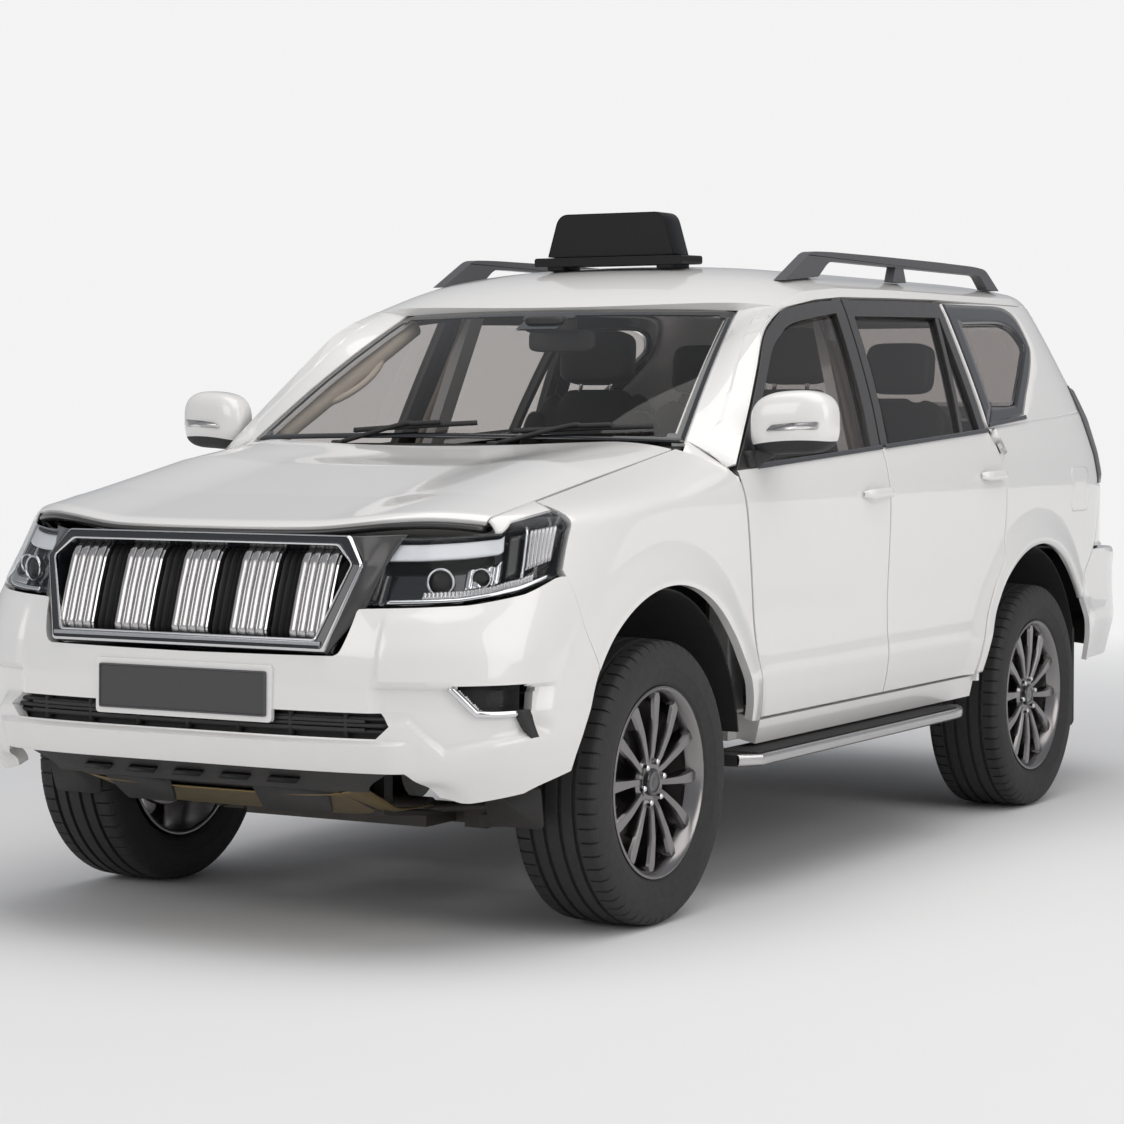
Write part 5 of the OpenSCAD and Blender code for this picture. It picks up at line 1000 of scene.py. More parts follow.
for i in range(grille["bars"]):
    x0 = -grille["span"] / 2 + i * pitch
    s.grid(onGrille(x0 + xc[None], hRow[:, None], lift[:, None] + dc[None]), 2)
    for k, xe in ((1, xc[-1]), (3, xc[0])):
        d = np.stack([lift + dc[-1], lift - 8, lift - 26, np.full(40, -46.0)], 1)
        xx = x0 + xe + np.array([0, 5, 6, 4]) * (1 if k == 1 else -1)
        s.grid(onGrille(xx[None] + 0 * d, hRow[:, None], d), k, flip=k == 3)
    if i == grille["bars"] - 1:
        break
    for k in range(grille["slats"]):
        xm = x0 + grille["bar"] + 4 + (pitch - grille["bar"] - 8) * (k + 0.5) / grille["slats"]
        w = 9.5 * np.sin(np.pi * np.clip((hRow - 8) / (grilleH - 16), 0.02, 0.98)) ** 0.35
        section = ((-0.15, -12), (1, -32), (0.5, -40), (-1, -32))
        solid(s, np.stack([onGrille(xm + a * w, hRow, lift + b) for a, b in section], 1), 3)
for h in np.arange(22, grilleH - 14, grille["wires"]):  # fine cross wires behind the slats
    o = ((h - 1.6, -36), (h + 1.6, -36), (h + 1.6, -42), (h - 1.6, -42))
    solid(s, np.stack([onGrille([-405, 405], a, b) for a, b in o], 1), 3)
solid(s, np.stack([onGrille(*hexOutline(10).T, d) for d in (-52, -46)]), 4)
ob = addPiece("grilleFace", s, [glossBlack, chrome, satinChrome, frameGrey, blackPlastic], "body",
              ("grille",))
soften(ob, 0.7, 1, 40)

s = Shape()
a = spline([(438, 1071), (470, 1044), (498, 1010), (472, 915), (428, 786)], 8, (2,))
b = spline([(566, 1076), (552, 1050), (536, 1000), (514, 900), (430, 776)], 8, (3,))
g = loft(a, b, np.linspace(0, 1, 14)).transpose(1, 0, 2)
k = np.linspace(0, 1, 14)[None]
flat = onGrille(g[..., 0], (g[..., 1] - grille["low"]) / math.cos(lean), -2)
s.grid(mid(flat, frontPoint(g[..., 0], g[..., 1], 3), ease(k)[..., None]), flip=True)
thick(addPiece("grilleSides", s.mirror(), [frameGrey]), 12)
x = np.linspace(-716, 716, 150)
yE = skin(atFrontX(np.abs(x), 1096), 1096 + 0 * x)[:, 1] + 26
zE = hoodZ(x, yE) - 27 - 5 * (np.abs(x) / 716) ** 2
section = [(0, -22, -6), (0, -24, 0), (0, -18, 6), (0, 26, 6), (0, 26, -10), (0, -10, -13)]
addPiece("hoodSeal", solid(Shape(), along(np.stack([x, yE, zE], -1), section)), [frameGrey])
print("grille made")

# Head lamps: bowl, white guide, projector and turn lens behind a clear cover

lampTop = ([nose + 170, nose + 224, nose + 290, nose + 312, nose + 370, yf - 480, yf - 390],
           [1066, 1071, 1078, 1104, 1117, 1128, 1142])


def lampPoint(t, v, sink):  # t runs from the grille round the corner, v from the lower to the upper edge
    t, v, sink = np.broadcast_arrays(np.asarray(t, float), np.asarray(v, float), np.asarray(sink, float))
    q9 = mid(atFrontX(500.0, 930.0), atY(yf - 485, 930.0), t)
    z = mid(lampFloor(q9), np.interp(skin(q9, 1090 + 0 * q9)[..., 1], *lampTop), v)
    back = mid(yf - 485, yf - 389, (z - 968) / 172)
    q = mid(atFrontX(np.interp(z, [898, 1002, 1078], [500, 508, 470]), z), atY(back, z), t)
    return skin(q, z) - sink[..., None] * skinNormal(q, z)


def lampPatch(shape, t0, t1, v0, v1, sink, mat, wave=0.0, count=0, n=40, m=8):  # closed slab, ribbed by a sine
    tt, vv = np.meshgrid(np.linspace(t0, t1, n), np.linspace(v0, v1, m))
    outer = lampPoint(tt, vv, sink - wave * np.abs(np.sin(np.pi * count * (tt - t0) / (t1 - t0))))
    inner = lampPoint(tt, vv, sink + 8)
    edge = np.concatenate([np.arange(n), np.arange(1, m) * n + n - 1, np.arange(n - 2, -1, -1) + (m - 1) * n,
                           np.arange(m - 2, 0, -1) * n])
    k = n * m
    e2 = np.roll(edge, -1)
    sideF = np.stack([edge, edge + k, e2 + k, e2], 1)
    f = gridFaces(m, n)
    v = np.concatenate([outer.reshape(-1, 3), inner.reshape(-1, 3)])
    faces = [f, f[:, ::-1] + k, sideF]
    if volume(v - v.mean(0), faces) < 0:
        faces = [q[:, ::-1] for q in faces]
    shape.add(v, faces, mat)


# Strip of fender between the hood's edge and the lamp
tongue = dict(cols=24, rows=7, wall=8.0, top=2.0)
tSide = np.linspace(0.4, 1, 241)
tFront = float(np.interp(frontY[-1] + 8, lampPoint(tSide, 1.0, 0)[:, 1], tSide))
lampEdge = lampPoint(np.linspace(tFront, 1, tongue["cols"]), 1.0, 1.0)
y = np.linspace(frontY[-1] + 6, yf - 369, tongue["cols"])
x = mid(hood["frontHalf"], hoodEdgeX(hood["back"]) - gap,
        (y - frontY[-1]) / (hood["back"] - frontY[-1])) + half
z = hoodEdgeZ(y) + tongue["top"] - 8 * (1 - np.clip((y - frontY[-1]) / 40, 0, 1)) ** 2
hoodLine = np.stack([x, y, z], -1)
w = np.linspace(0, 1, tongue["rows"])[:, None, None]
s = Shape().grid(mid(lampEdge, hoodLine, w) + np.sin(np.pi * w) * [2.0, 0, 3.0])
thick(addPiece("fenderTongues", s.mirror(), [paint, blackPlastic], "body"), tongue["wall"], 1)
s = Shape()
tt, vv = np.meshgrid(np.linspace(0, 1, 60), np.linspace(0, 1, 24))
deep = ease(np.minimum(np.minimum(tt, 1 - tt) * 22, np.minimum(vv, 1 - vv) * 9))
s.grid(lampPoint(tt, vv, 5 + 58 * deep), 0, flip=True)
# Along the lamp from and to, height from and to, depth, material, ribs' height and count, columns, rows
lampParts = [
    (0.06, 0.66, 0.70, 0.93, 14, 1), (0.10, 0.95, 0.035, 0.09, 8, 2, 0, 0, 60, 3),
    (0.26, 0.86, 0.10, 0.20, 12, 3, 3, 30, 180, 4), (0.80, 0.96, 0.30, 0.86, 14, 3, 3, 7, 70, 10),
    (0.775, 0.79, 0.2, 0.92, 8, 2, 0, 0, 3), (0.70, 0.765, 0.28, 0.86, 30, 4, 0, 0, 6),
    (0.47, 0.68, 0.26, 0.60, 42, 2, 5, 4), (0.02, 0.05, 0.1, 0.9, 12, 4, 0, 0, 3)]
for row in lampParts:
    lampPatch(s, *row)


# Profile of (depth, radius) turned about a line through centre along aim
def turned(profile, centre, aim, n=40):
    a = np.asarray(aim, float) / np.linalg.norm(aim)
    u = np.cross(a, [0, 0, 1.0])
    u /= np.linalg.norm(u)
    w = np.cross(u, a)
    p = spinRings(profile, n)
    return centre + p[..., :1] * a + p[..., 1:2] * u + p[..., 2:] * w


lampAim = (0.3, -1, 0.02)
for tc, rr in ((0.34, 1.0), (0.565, 0.72)):  # two projectors: place along the lamp, share of full size
    c0 = lampPoint(tc, 0.42, 40)
    rim = [(0, 28 * rr), (0, 37 * rr), (16, 37 * rr), (19, 34 * rr), (16, 30 * rr)]
    lens = [(-4, 29 * rr), (6, 29 * rr), (12, 25 * rr), (17, 17 * rr), (19, 8 * rr), (19.5, 1)]
    solid(s, turned(rim, c0, lampAim), 2, ring=True)
    solid(s, turned(lens, c0, lampAim), 5)
addPiece("headLampInsides", s.mirror(), [glossBlack, lampWhite, chrome, satinChrome, frameGrey, signBlack],
         "body", ("front_lamps",))
cover = Shape().grid(lampPoint(tt, vv, 0.5), flip=True).mirror()
thick(addPiece("headLampCovers", cover, [lampGlass], "body"), 3)
print("lamps made")

# Lower guard: dark panel with slots, two flaps and the metal tray behind

gx, gz = np.meshgrid(np.linspace(-600, 600, 90), np.linspace(404, 492, 14))
k = ease((gz - 404) / 88)
ob = addPiece("guardPanel", Shape().grid(frontPoint(gx * mid(0.84, 1, k), gz, 40 - 18 * k)), [blackPlastic])
soften(thick(ob, 10), 2)
s = Shape()
for x0 in (-330, -180, -30, 120, 270):
    o = roundOutline([(x0 - 54, 428), (x0 + 38, 428), (x0 + 54, 443), (x0 - 38, 443)], 3, 3)
    solid(s, prismRings(o, 25, 36, lambda u, v, d: frontPoint(u, v, d + 18 * ease((492 - v) / 88) - 16)), 1)
for x0 in (-250, 250):
    inner = x0 - (96 if x0 > 0 else 38.4)
    o = roundOutline([(x0 - 118, 398), (x0 + 118, 398), (x0 + 112, 330), (inner, 330)], 14, 4)
    solid(s, prismRings(o, 62, 74, lambda u, v, d: frontPoint(u, np.maximum(v, 336), d)))
addPiece("guardSlots", s, [blackPlastic, signBlack])
path = spline([(nose + 128, 400), (nose + 250, 356), (yf - 560, 326), (yf - 380, 318)], 10)
xw = np.linspace(-1, 1, 30)[None] * np.linspace(470, 430, len(path))[:, None]
tray = np.stack([xw, path[:, :1] + 0 * xw, path[:, 1:] + 34 * np.abs(xw / 470) ** 6], -1)
thick(addPiece("underTray", Shape().grid(tray, flip=True), [bronzeTray]), 4)
deflector = across(roundOutline([(640, 306), (800, 306), (806, 420), (630, 420)], 18, 5), (0, 10), 1)
deflector[..., 1] += yf - 470 + 0.25 * (420 - deflector[..., 2])
for side in ("left", "right"):  # wind deflector before each front tyre
    addPiece(f"deflector.{side}", solid(Shape(), deflector), [blackPlastic], flipX=side == "right")
print("guard made")

# Windscreen pillars: smooth cover between the screen and the door frame

pillarLine = spline([(y - 8, z + 10) for y, z in frontFrame[:7]], 10)
pillarOut = skinGrid(pillarLine, 1.0)
k = np.clip((pillarLine[:, :1] - yf - 461) / (frontFrame[6][0] - yf - 469), 0, 1)
pillarIn = mid(screenLow, screenTop, k) + 16 * np.sin(np.pi * k) * [0, 0, 1] + [2, -6, 4]
w = np.linspace(0, 1, 12)[:, None]
cover = mid(pillarOut[:, None], pillarIn[:, None], w) + np.sin(np.pi * w) * [4.0, -5, 6]
s = Shape().grid(cover, flip=True)
foot = onSkin(mid(yf + 463, yf + 402, w[:, 0]), mid(1218.0, 1270, w[:, 0]), 5)
s.grid(mid(foot, mid(pillarOut[0], pillarIn[0], w), np.linspace(0, 1, 5)[:, None, None]), flip=True)
ob = addPiece("pillarCovers", s.mirror(), [paint, beigeTrim], "body")
soften(thick(ob, 10, 1), 2)

# Mirrors: crowned shell, flat at the glass, dark below, with a clear turn lamp

mirrorSet = dict(at=(1008, yf + 628, 1352), size=(122, 66, 90), sweep=14 / 114, rows=40, cols=64, darkRows=14)
for side in ("left", "right"):
    s = Shape()
    p = softBox(np.zeros(3), mirrorSet["size"], 0.62, mirrorSet["rows"], mirrorSet["cols"])
    p[..., 2] += 6 * (p[..., 0] / 114) - 8 * (p[..., 0] / 114) ** 2
    p[..., 1] = np.where(p[..., 1] > 30, 30 + (p[..., 1] - 30) * 0.25, p[..., 1]) \
        + mirrorSet["sweep"] * p[..., 0]
    solid(s, p + mirrorSet["at"])
    # Lowest rows are the dark part
    s.m[0] = np.arange(len(s.f[0])) < mirrorSet["darkRows"] * mirrorSet["cols"]
    o = roundOutline([(-58, -26), (92, -20), (96, 2), (20, -2), (-40, -8)], 6)
    face = -71 * (np.maximum(0.05, 1 - np.abs(o[:, 0] / 116) ** 3.2)) ** 0.31
    lens = np.stack([np.insert(o * k, 1, face * deep + mirrorSet["sweep"] * o[:, 0] - d, axis=1)
                     for k, deep, d in ((1, 0.9, 0), (1, 0.98, 1.2), (0.97, 1, 2.2))])
    solid(s, lens + mirrorSet["at"], 2)
    glass = across(roundOutline([(-92, -62), (90, -60), (96, 56), (-88, 62)], 26, 6), (38, 47), 1)
    glass[..., 1] += mirrorSet["sweep"] * glass[..., 0]
    solid(s, glass + mirrorSet["at"], 3)
    foot = spline([(896, yf + 586, 1246), (916, yf + 596, 1258), (940, yf + 612, 1276),
                   (956, yf + 622, 1300)], 6)
    solid(s, tubeRings(foot, np.linspace(26, 20, len(foot)), 18), 1)
    solid(s, softBox((898, yf + 582, 1248), (14, 44, 24), 0.4), 1)
    addPiece(f"mirrorShell.{side}", s, [paint, blackPlastic, satinChrome, chrome], f"door_front_{side}",
             (f"mirror_{side}",), flipX=side == "right")

# Roof rails: side outline drawn once, with wedge feet, and a foot in the middle

railX, railTop, railF, railB = 622.0, 1888.0, yf + 1320, yr + 318


def railFoot(y):  # height of the roof under the rail
    return float(roofAt(np.array(railX - 20), np.array(float(y)))) + 0.6


railRows = [  # y, drop below the top or None on the roof, corner radius
    (railF, None, 4), (railF + 150, 30, 30), (railF + 200, 6, 30), (railF + 330, 2, 60), (railF + 700, 0, 60),
    (railB - 560, 0, 60), (railB - 220, 3, 60), (railB - 130, 10, 30), (railB, None, 6),
    (railB - 110, None, 6), (railB - 180, 32, 24), (railB - 240, 32, 24), (railF + 420, 30, 40),
    (railF + 330, 32, 30), (railF + 250, None, 8)]
outline = [(y, railFoot(y) if drop is None else railTop - drop) for y, drop, r in railRows]
s = Shape()
solid(s, across(roundOutline(outline, [r for y, drop, r in railRows], 6), (railX - 19, railX + 19), 0))
ym = (railF + railB) / 2
foot = [(ym - 52, railFoot(ym)), (ym + 60, railFoot(ym + 60)), (ym + 30, railTop - 20),
        (ym - 26, railTop - 20)]
solid(s, across(roundOutline(foot, 5, 4), (railX - 16, railX + 16), 0))
soften(addPiece("railBars", s.mirror(), [railGrey], "body", ("roof_rails",)), 7, 4, 30)

# Blank sign: rounded trapezoid on a flat bar

sign = dict(y=yf + 1420, low=232.2, top=191.7, high=137.0, bar=270.0, barHigh=14)
signAt = np.array([0, sign["y"], float(roofLine(sign["y"])) + 28])
s = Shape()
o = roundOutline([(-sign["low"], 0), (sign["low"], 0), (sign["top"], sign["high"]),
                  (-sign["top"], sign["high"])],
                 [4, 4, 34, 34], 8)
face = ((-50, 0.975), (-52, 0.99), (-47, 1), (47, 1), (52, 0.99), (50, 0.975))  # depth, share of the outline
solid(s, np.stack([np.insert(o * k, 1, d, axis=1) for d, k in face]) + signAt + [0, 0, 12])
a, b = sign["bar"], sign["barHigh"]
bar = across(roundOutline([(-a, -b), (a, -b), (a, b), (-a, b)], 9, 5), (-70, -64, 64, 70), 1)
bar[..., 2] += 0.02 * bar[..., 1]
solid(s, bar + signAt - [0, 0, 4])
for x0 in (-200, 200):
    solid(s, softBox(signAt + [x0, 0, -22], (34, 60, 12), 0.3))
soften(addPiece("blankSign", s, [signBlack], "body", ("roof_sign",)), 2, 3, 30)

# Side steps: ribbed dark tread with a bright edge, on brackets

stepF, stepB = yf + 462, yr - 672
s = Shape()
yy = np.linspace(stepF + 6, stepB - 4, 30)
endK = np.minimum(1, np.minimum((yy - stepF) / 60, (stepB - yy) / 150))
out = 962 - 60 * (1 - np.clip(endK, 0, 1)) ** 2
outLine = np.stack([out, yy, 0 * yy], -1)
board = along(outLine, [(0, 0, 414), (0, 0, 382), (0, 0, 378), (-6, 0, 380), (0, 0, 398), (-6, 0, 412)])
board[:, :3, 0] = (806, 806, 830)  # straight along the sill
solid(s, board)
solid(s, along(outLine, [(-8, 0, 414), (-1, 0, 410), (1.5, 0, 400), (0, 0, 386), (-8, 0, 380)]), 1)
ribLine = np.stack([0 * yy, yy, 0 * yy], -1)[endK > 0.75]
for x0 in 816 + 11 * np.arange(12):
    solid(s, along(ribLine, [(x0, 0, 413), (x0 + 6, 0, 413), (x0 + 5, 0, 418), (x0 + 1, 0, 418)]))
bracket = roundOutline([(464.3, 386), (822, 386), (822, 408), (464.3, 408)], 4, 3)
for y0 in (stepF + 160, (stepF + stepB) / 2, stepB - 160):
    solid(s, across(bracket, (y0 - 28, y0 + 28), 1), 2)
ob = addPiece("stepBoards", s.mirror(), [blackPlastic, satinChrome, frameBlack], stands=("side_steps",))
soften(ob, 1.2)
print("mirrors, rails, sign and steps made")

# Tail: lamps, bumper, tailgate and its glass

tailLamp = dict(low=1112, top=1468, redFrom=0.36, redTo=0.95, redZ=((1180, 1318), (1330, 1452)))
u, z = np.meshgrid(np.linspace(0, 1, 28), np.linspace(tailLamp["low"], tailLamp["top"], 40))
q = mid(atY(yr + 622 - 30 * (z - 1110) / 360, z), atTailX(gateHalf + gap + 4, z), u)
edgeK = ease(np.minimum(np.minimum(u, 1 - u) * 8, np.minimum(z - tailLamp["low"], tailLamp["top"] - z) / 26))
proud = 2 + 4 * edgeK + 12 * ease((u - 0.3) * 9) * edgeK
s = Shape().grid(skin(q, z) + proud[..., None] * skinNormal(q, z))
fu, fz = u.ravel()[s.f[0]].mean(1), z.ravel()[s.f[0]].mean(1)
inRed = sum((fz > a) & (fz < b) for a, b in tailLamp["redZ"])
s.m[0] = inRed * ((fu > tailLamp["redFrom"]) & (fu < tailLamp["redTo"]))
thick(addPiece("tailLampLenses", s.mirror(), [frameGrey, lampRed], "body", ("tail_lamps",)), 30)


def tailBumper(t, v):  # t from side to side, v upwards: skin from the tail's middle to the wheel arch
    at = np.abs(t)
    z = mid(mid(500, 470, at), mid(862, 872, at), v)
    arch = archYr + np.sqrt(np.maximum(1, archR**2 - (z - archZ) ** 2))
    sideY = np.where(z < 704, arch, mid(yr + 423, yr + 610, (z - 704) / 198))
    p = skin(mid(tailY0(z) + tailArc, atY(sideY + gap, z), at), z)
    p[..., 0] *= np.where(t < 0, -1, 1)
    return p


tt, vv = np.meshgrid(np.linspace(1, -1, 110), np.linspace(0, 1, 38))
p = tailBumper(tt, vv)
p[..., 1] += 14 * np.exp(-((vv - 0.93) / 0.05) ** 2) * (1 - tt**4)
p[..., 1] -= 16 * ease((0.30 - vv) / 0.08) * (1 - np.abs(tt) ** 6)
s = Shape().grid(p)
s.grid(mid(p[-1], p[-1] * [0.94, 1, 1] - [0, 150, -6], np.linspace(0, 1, 8)[:, None, None]))
u, z = np.meshgrid(np.linspace(0, 1, 20), np.linspace(884, 1102, 24))  # corner below the tail lamp
q = mid(atY(np.interp(z, [902, 1106], [yr + 610, yr + 668]) + gap, z), atTailX(gateHalf + gap, z), u)
s.join(Shape().grid(skin(q, z)).mirror())
ob = addPiece("rearBumperSkin", s, [paint, blackPlastic], "body", ("rear_bumper",))
soften(thick(ob, 18, 1), 2.5)
x = np.linspace(-700, 700, 80)
for name, v, z0, z1, out in (("rearStep", 0.9, 862, 874, 3.2), ("rearGuard", 0.1, 476, 520, 8.8)):
    line = tailBumper(-x / 900, np.full(len(x), v)) * [0, 1, 0] + x[:, None] * [1, 0, 0]
    s = solid(Shape(), along(line, [(0, -40, z0), (0, out, z0), (0, out, z1), (0, -40, z1)]))
    soften(addPiece(name, s, [blackPlastic]), 2)

gs, gz = np.meshgrid(np.linspace(1, -1, 90), np.linspace(886, gateSill + 18, 50))
p = skin(atTailX(np.abs(gs) * gateHalf, gz), gz)
p[..., 0] = gs * gateHalf
recess = 20 * ease((0.36 - np.abs(gs)) / 0.02) * ease((gz - 930) / 12) * ease((1090 - gz) / 12)
p[..., 1] += 4 * np.exp(-((gz - 1180) / 26) ** 2) - recess
s = Shape().grid(p)
win = roundOutline([(560, 1392), (548, 1690), (-548, 1690), (-560, 1392)], 60, 10)
lowX, topX = gateEdgeX(gateSill), gateEdgeX(gateTop)
rim = roundOutline([(lowX, gateSill), (topX, gateTop), (-topX, gateTop), (-lowX, gateSill)], 24, 10)


def onTail(x, z, sink):  # place on the tail's skin at (x, z), sunk forwards
    p = skin(atTailX(np.abs(x), z), z)
    return np.stack([x, p[..., 1] - sink, z], -1)


def dense(o, n):  # outline resampled evenly by its length
    c = np.concatenate([o, o[:1]])
    d = np.concatenate([[0], np.cumsum(np.linalg.norm(np.diff(c, axis=0), axis=1))])
    return np.stack([np.interp(np.linspace(0, d[-1], n, endpoint=False), d, c[:, i]) for i in (0, 1)], 1)


gateCols = 160
winLine, rimLine = dense(win, gateCols), dense(rim, gateCols)
g = loft(winLine, rimLine, np.linspace(0, 1, 14))
s.grid(onTail(g[..., 0], g[..., 1], 2), closeU=True, flip=True)
ob = addPiece("tailgateSkin", s, [paint, cabinPlastic], "tailgate", ("tailgate",))
soften(thick(ob, 40, 1), 2.5)
g = loft(np.array([[0.0, 1540]]), winLine * [0.985, 1], np.linspace(0.02, 1.0, 14))
s = Shape().grid(onTail(g[..., 0], g[..., 1], 14), closeU=True, flip=True)
s.add(onTail(g[0, :, 0], g[0, :, 1], 14), np.arange(gateCols)[None])
thick(addPiece("tailgatePane", s, [smokeGlass], "tailgate", ("tailgate_glass",)), 4)
s = Shape()
solid(s, softBox((380, tail - 148, 1120), (70, 12, 14), 0.4))
solid(s, softBox((0, tail - 126, 1010), (265, 6, 56), 0.12), 1)
addPiece("gateFittings", s, [paint, frameGrey], "tailgate")
print("tail made")

# Cowl and wipers

cowlHalf = 736
cs, ct = np.meshgrid(np.linspace(-1, 1, 80), np.linspace(0, 1, 10))
cy = yf + mid(424, 462, ct) - mid(148, 156, ct) * (1 - cs**2)
cz = mid(1258, 1284, ct) + 6 * (1 - cs**2) + 2 * np.sin(ct * 12)
s = Shape().grid(np.stack([cs * cowlHalf, cy, cz], -1))
thick(addPiece("cowlPanel", s, [blackPlastic], stands=("cowl_wipers",)), 8)
s = Shape()
for x0, span in ((-300, 420), (250, 400)):
    k = np.linspace(0, 1, 30)
    blade = screenPoint((x0 + span * k) / 740, 0.02 + 0.05 * k) + [0, -9, 9]
    solid(s, along(blade, [(0, -6, -4), (0, 4, -6), (0, 2, 8), (0, -3, 9)]))
    pivot = [x0 - 40, yf + 432 - 150 * (1 - ((x0 - 40) / cowlHalf) ** 2), 1288]
    arm = np.concatenate([[pivot], blade[12:22:3] + [0, -10, 9]])
    solid(s, tubeRings(spline(arm, 6), 7, 10))
    solid(s, softBox(arm[0], (18, 18, 9), 0.5))
addPiece("wipers", s, [blackPlastic])
print("cowl made")

# Mud flaps and the fuel flap

s = Shape()
for x0, x1, y0, z0, z1 in ((690, 800, yf + 456, 236, 480), (690, 874, archYr + 472, 236, 592)):
    flap = across(roundOutline([(x0, z0), (x1, z0), (x1 + 4, z1), (x0, z1)], [16, 16, 4, 4], 5), (-4, 4), 1)
    flap[..., 1] += y0 + 0.04 * (z1 - flap[..., 2])
    solid(s, flap)
addPiece("mudFlaps", s.mirror(), [blackPlastic])
o = roundOutline([(1616, 1016), (1788, 1016), (1788, 1176), (1616, 1176)], 26, 8)
g = loft(np.array([[1702.0, 1096]]), o, np.linspace(0.03, 1, 10))
s = solid(Shape(), np.concatenate([skinGrid(g, -1.2), skinGrid(o[None], 8)]))
addPiece("fuelFlap", s, [paint], "body")

# Seats: full cushions with piped seams, on dark bases

seat = dict(x=370.0, y=20.0, lean=math.radians(20), rearY=780.0, rearLean=math.radians(16), pinch=7.0)


# Superellipsoid pinched along its seams, then leaned back
def cushion(shape, centre, halfSize, lean=0.0, seams=()):
    p = softBox(np.zeros(3), halfSize, 0.42, 26, 48)
    u = p[..., 0] / halfSize[0]
    pinch = 0 * u + sum(np.exp(-((u - k) / 0.07) ** 2) for k in seams)
    p = p * (1 - pinch * seat["pinch"] / min(halfSize[1], halfSize[2]))[..., None] ** [0, 1, 1]
    y, z = p[..., 1].copy(), p[..., 2].copy()
    p[..., 1], p[..., 2] = y * math.cos(lean) + z * math.sin(lean), z * math.cos(lean) - y * math.sin(lean)
    return solid(shape, p + centre)


for side in (1, -1):
    tag = "left" if side > 0 else "right"
    x0, y0 = side * seat["x"], seat["y"]
    s = Shape()
    cushion(s, (x0, y0 - 20, 900), (236, 262, 62), -0.05, (-0.58, 0.58))
    cushion(s, (x0, y0 + 345, 1170), (232, 62, 290), seat["lean"], (-0.58, 0.58))
    for k in (-1, 1):
        cushion(s, (x0 + k * 206, y0 - 20, 918), (42, 246, 66), -0.05)
        cushion(s, (x0 + k * 204, y0 + 318, 1150), (40, 70, 230), seat["lean"])
    cushion(s, (x0, y0 + 424, 1560), (134, 50, 92), 0.15)
    addPiece(f"frontSeat.{tag}", s, [leather], "body", ("front_seats",))
    s = Shape()
    solid(s, softBox((x0, y0 - 10, 690), (224, 226, 152), 0.18))
    for k in (-60, 60):
        post = [(x0 + k, y0 + 396, 1420), (x0 + k, y0 + 420, 1490), (x0 + k, y0 + 424, 1540)]
        solid(s, tubeRings(post, 7, 12), 1)
    addPiece(f"seatBase.{tag}", s, [cabinPlastic, chrome], "body")
s = Shape()
for x0, w in ((-330, 272), (330, 272), (0, 120)):
    cushion(s, (x0, seat["rearY"] + 105, 925), (w - 4, 228, 62), -0.04, (-0.5, 0.5) if w > 200 else ())
    cushion(s, (x0, seat["rearY"] + 442, 1180), (w - 4, 60, 244), seat["rearLean"],
            (-0.5, 0.5) if w > 200 else ())
for x0 in (-390, 390):
    cushion(s, (x0, seat["rearY"] + 512, 1526), (124, 46, 90), 0.12)
addPiece("rearSeat", s, [leather], "body", ("rear_seats",))
s = solid(Shape(), softBox((0, seat["rearY"] + 150, 790), (590, 190, 96), 0.15))
addPiece("rearSeatBase", s, [cabinPlastic], "body")

# Dashboard and steering wheel

dash = [(yf + d, z) for d, z in ((596, 800), (780, 760), (900, 860), (936, 1000), (918, 1120), (850, 1168),
                                 (760, 1186), (596, 1190))]
o = roundOutline(dash, [10, 40, 60, 60, 50, 60, 60, 10], 7)
s = Shape()
p = across(o, np.linspace(-706, 706, 80), 0)
rise = 26 * np.exp(-((p[..., 0] - 370) / 190) ** 4) + 10 * np.exp(-(p[..., 0] / 190) ** 4)
p[..., 2] += rise * ease((p[..., 2] - 1080) / 100)
solid(s, p)
screenO = roundOutline([(-125, 1040), (125, 1040), (125, 1150), (-125, 1150)], 12)
solid(s, across(screenO, (yf + 915, yf + 941), 1), 1)
for x0 in (-600, -190, 190, 600):
    solid(s, softBox((x0, yf + 926, 1080), (52, 22, 30), 0.3), 1)
console = [(yf + d, z) for d, z in ((830, 536), (1490, 536), (1490, 760), (1300, 796), (960, 770), (850, 800))]
solid(s, across(roundOutline(console, 30, 6), (-120, -112, 112, 120), 0))
soften(addPiece("dashPanel", s, [cabinPlastic, glossBlack], "body", ("dashboard",)), 2.5)

wheelAt, tilt = np.array([370.0, -430, 1070]), math.radians(26)
axis = np.array([0, math.cos(tilt), math.sin(tilt)])
down = np.array([0, math.sin(tilt), -math.cos(tilt)])


def onWheel(a, r, d):  # place on the steering wheel: angle, radius and depth towards the driver
    a, r, d = (v[..., None] for v in np.broadcast_arrays(a, r, np.asarray(d, float)))
    return wheelAt + r * np.cos(a) * [1, 0, 0] + r * np.sin(a) * down + d * axis


s = Shape()
a = np.linspace(0, 2 * np.pi, 96, endpoint=False)[:, None]
b = np.linspace(0, 2 * np.pi, 20, endpoint=False)[None]
solid(s, onWheel(a, 184 + 15 * np.cos(b), 15 * np.sin(b) * (1 + 0.08 * np.cos(3 * a))), ring=True)
k = np.linspace(50, 182, 16)
w = np.interp(k, [50, 110, 182], [30, 19, 15])
section = [(-1, -6), (-0.6, 4), (0.6, 4), (1, -6), (0.6, -12), (-0.6, -12)]
for turn in np.radians([0, 90, 180]):
    solid(s, np.stack([onWheel(turn + np.arctan2(w * c, k), np.hypot(k, w * c), d) for c, d in section], 1), 1)
hub = np.array([(66, -16), (68, -4), (64, 12), (52, 20), (30, 24), (4, 25)])
solid(s, onWheel(a.T[:, ::2], hub[:, :1], hub[:, 1:]), 1)
addPiece("wheelRim", s, [leather, cabinPlastic], "steering_wheel", ("steering_wheel",))

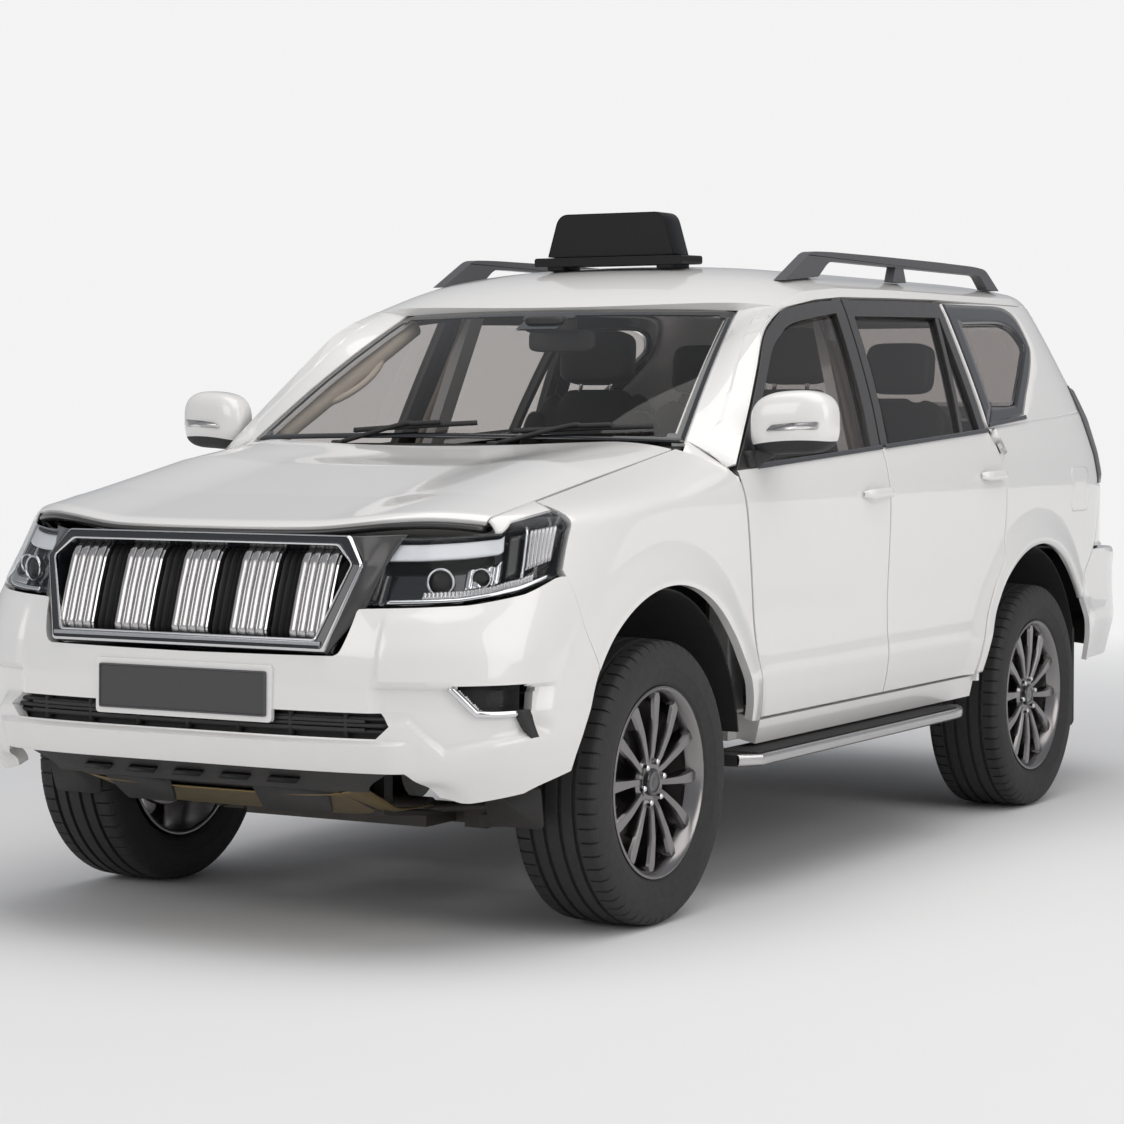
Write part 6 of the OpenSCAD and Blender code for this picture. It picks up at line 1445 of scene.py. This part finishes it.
# Pillar trims with grab handles, centre posts and the pod behind the glass

s = Shape()
k = np.linspace(0.05, 0.95, 24)
a = mid(screenLow, screenTop, k[:, None]) + [-14, 40, -20]
solid(s, tubeRings(a, 30, 14))
g = mid(a[7], a[17], np.linspace(0, 1, 16)[:, None])
g = g + np.outer(46 * np.sin(np.linspace(0, np.pi, 16)) ** 0.5, [-0.9, 0.3, -0.3])
solid(s, tubeRings(g, 11, 12))
line = spline([(midY - 6, 700), (midY - 8, 1260), (midY + 30, 1500), (midFrameY - 6, 1730)], 10)
solid(s, along(skinGrid(line, 78.0), [(0, -46, 0), (-12, -30, 0), (-12, 30, 0), (0, 46, 0)]))
addPiece("pillarTrims", s.mirror(), [beigeTrim], "body")
s = Shape()
solid(s, softBox((0, yf + 990, 1648), (70, 60, 26), 0.35))
solid(s, softBox((0, yf + 1060, 1600), (118, 14, 36), 0.4))
addPiece("screenPod", s, [cabinPlastic], "body")
print("cabin made")

# Camera and light

cam = bpy.data.objects.new("camera", bpy.data.cameras.new("camera"))
bpy.context.scene.collection.objects.link(cam)
cam.location = (4.673, -8.622, 1.411)
cam.rotation_euler = (math.radians(90 - 3.06), 0, math.radians(29.77))
cam.data.lens, cam.data.sensor_width = 96.3, 36
cam.data.clip_end = 200
bpy.context.scene.camera = cam
bpy.context.scene.view_settings.view_transform = "Standard"

paleGround = (0.90, 0.90, 0.90, 1)
world = bpy.data.worlds.new("studio")
bpy.context.scene.world = world
world.use_nodes = True
tree = world.node_tree
sky = tree.nodes["Background"]
setInputs(sky, {"Color": (0.93, 0.95, 1.0, 1), "Strength": 0.42})
seen = makeNode(tree, "Background", {"Color": paleGround, "Strength": 1.0})
ray = makeNode(tree, "LightPath").outputs["Is Camera Ray"]
both = makeNode(tree, "MixShader", {}, {0: ray, 1: sky.outputs[0], 2: seen.outputs[0]})
tree.links.new(both.outputs[0], tree.nodes["World Output"].inputs["Surface"])


def areaLight(name, place, aim, size, power, colour):  # soft box at a place, turned to its aim
    data = bpy.data.lights.new(name, "AREA")
    data.shape, data.size, data.size_y = "RECTANGLE", size[0], size[1]
    data.energy, data.color = power, colour
    ob = bpy.data.objects.new(name, data)
    bpy.context.scene.collection.objects.link(ob)
    ob.location = place
    d = np.array(aim) - np.array(place)
    ob.rotation_euler = (math.atan2(math.hypot(d[0], d[1]), -d[2]), 0, math.atan2(d[1], d[0]) - math.pi / 2)


areaLight("softbox", (1.5, -1.0, 7.5), (0, 0, 0.8), (7, 9), 330, (1, 0.98, 0.95))
areaLight("sideFill", (8.5, -2.5, 4.0), (0.5, 0, 0.9), (5, 5), 170, (1, 0.97, 0.94))
areaLight("frontFill", (-2.5, -9.0, 4.0), (0, -1.5, 0.8), (5, 4), 130, (1, 0.98, 0.96))

floorMesh = bpy.data.meshes.new("floor")
floorMesh.from_pydata([(-60, -60, 0), (60, -60, 0), (60, 60, 0), (-60, 60, 0)], [], [(0, 1, 2, 3)])
floor = bpy.data.objects.new("floor", floorMesh)
bpy.context.scene.collection.objects.link(floor)
floorMat, tree, sh = startMaterial("paleFloor")  # fades into the ground's colour away from the car
setInputs(sh, {"Base Color": (0.84, 0.84, 0.84, 1), "Roughness": 0.8})
coord = makeNode(tree, "TexCoord").outputs["Object"]
far = makeNode(tree, "VectorMath", {}, {0: coord}, operation="LENGTH").outputs["Value"]
fade = makeNode(tree, "MapRange", {"From Min": 3.5, "From Max": 9.0}, {"Value": far}).outputs[0]
glow = makeNode(tree, "Emission", {"Color": paleGround})
both = makeNode(tree, "MixShader", {}, {0: fade, 1: sh.outputs[0], 2: glow.outputs[0]})
tree.links.new(both.outputs[0], tree.nodes["Material Output"].inputs["Surface"])
floorMesh.materials.append(floorMat)

# Finishes of the CAD nodes that stay as they are

bySlot = {"body_paint": paint, "frame_black": frameBlack, "black_plastic": blackPlastic,
          "clear_glass": screenGlass, "tinted_glass": smokeGlass, "grille_chrome": satinChrome,
          "lamp_clear": lampGlass, "lamp_red": lampRed, "rail_grey": railGrey, "sign_black": signBlack,
          "cast_metal": castMetal, "pipe_steel": pipeSteel, "cabin_plastic": cabinPlastic,
          "seat_leather": leather, "tyre_rubber": rubber, "rim_metal": darkChrome}
for sub in frame["record"]["subparts"]:
    mesh = nodes[sub["node"]].data
    mesh.materials.clear()
    mesh.materials.append(bySlot[sub["material_slot"]])
nodes["side_frames"].data.materials[0] = paint
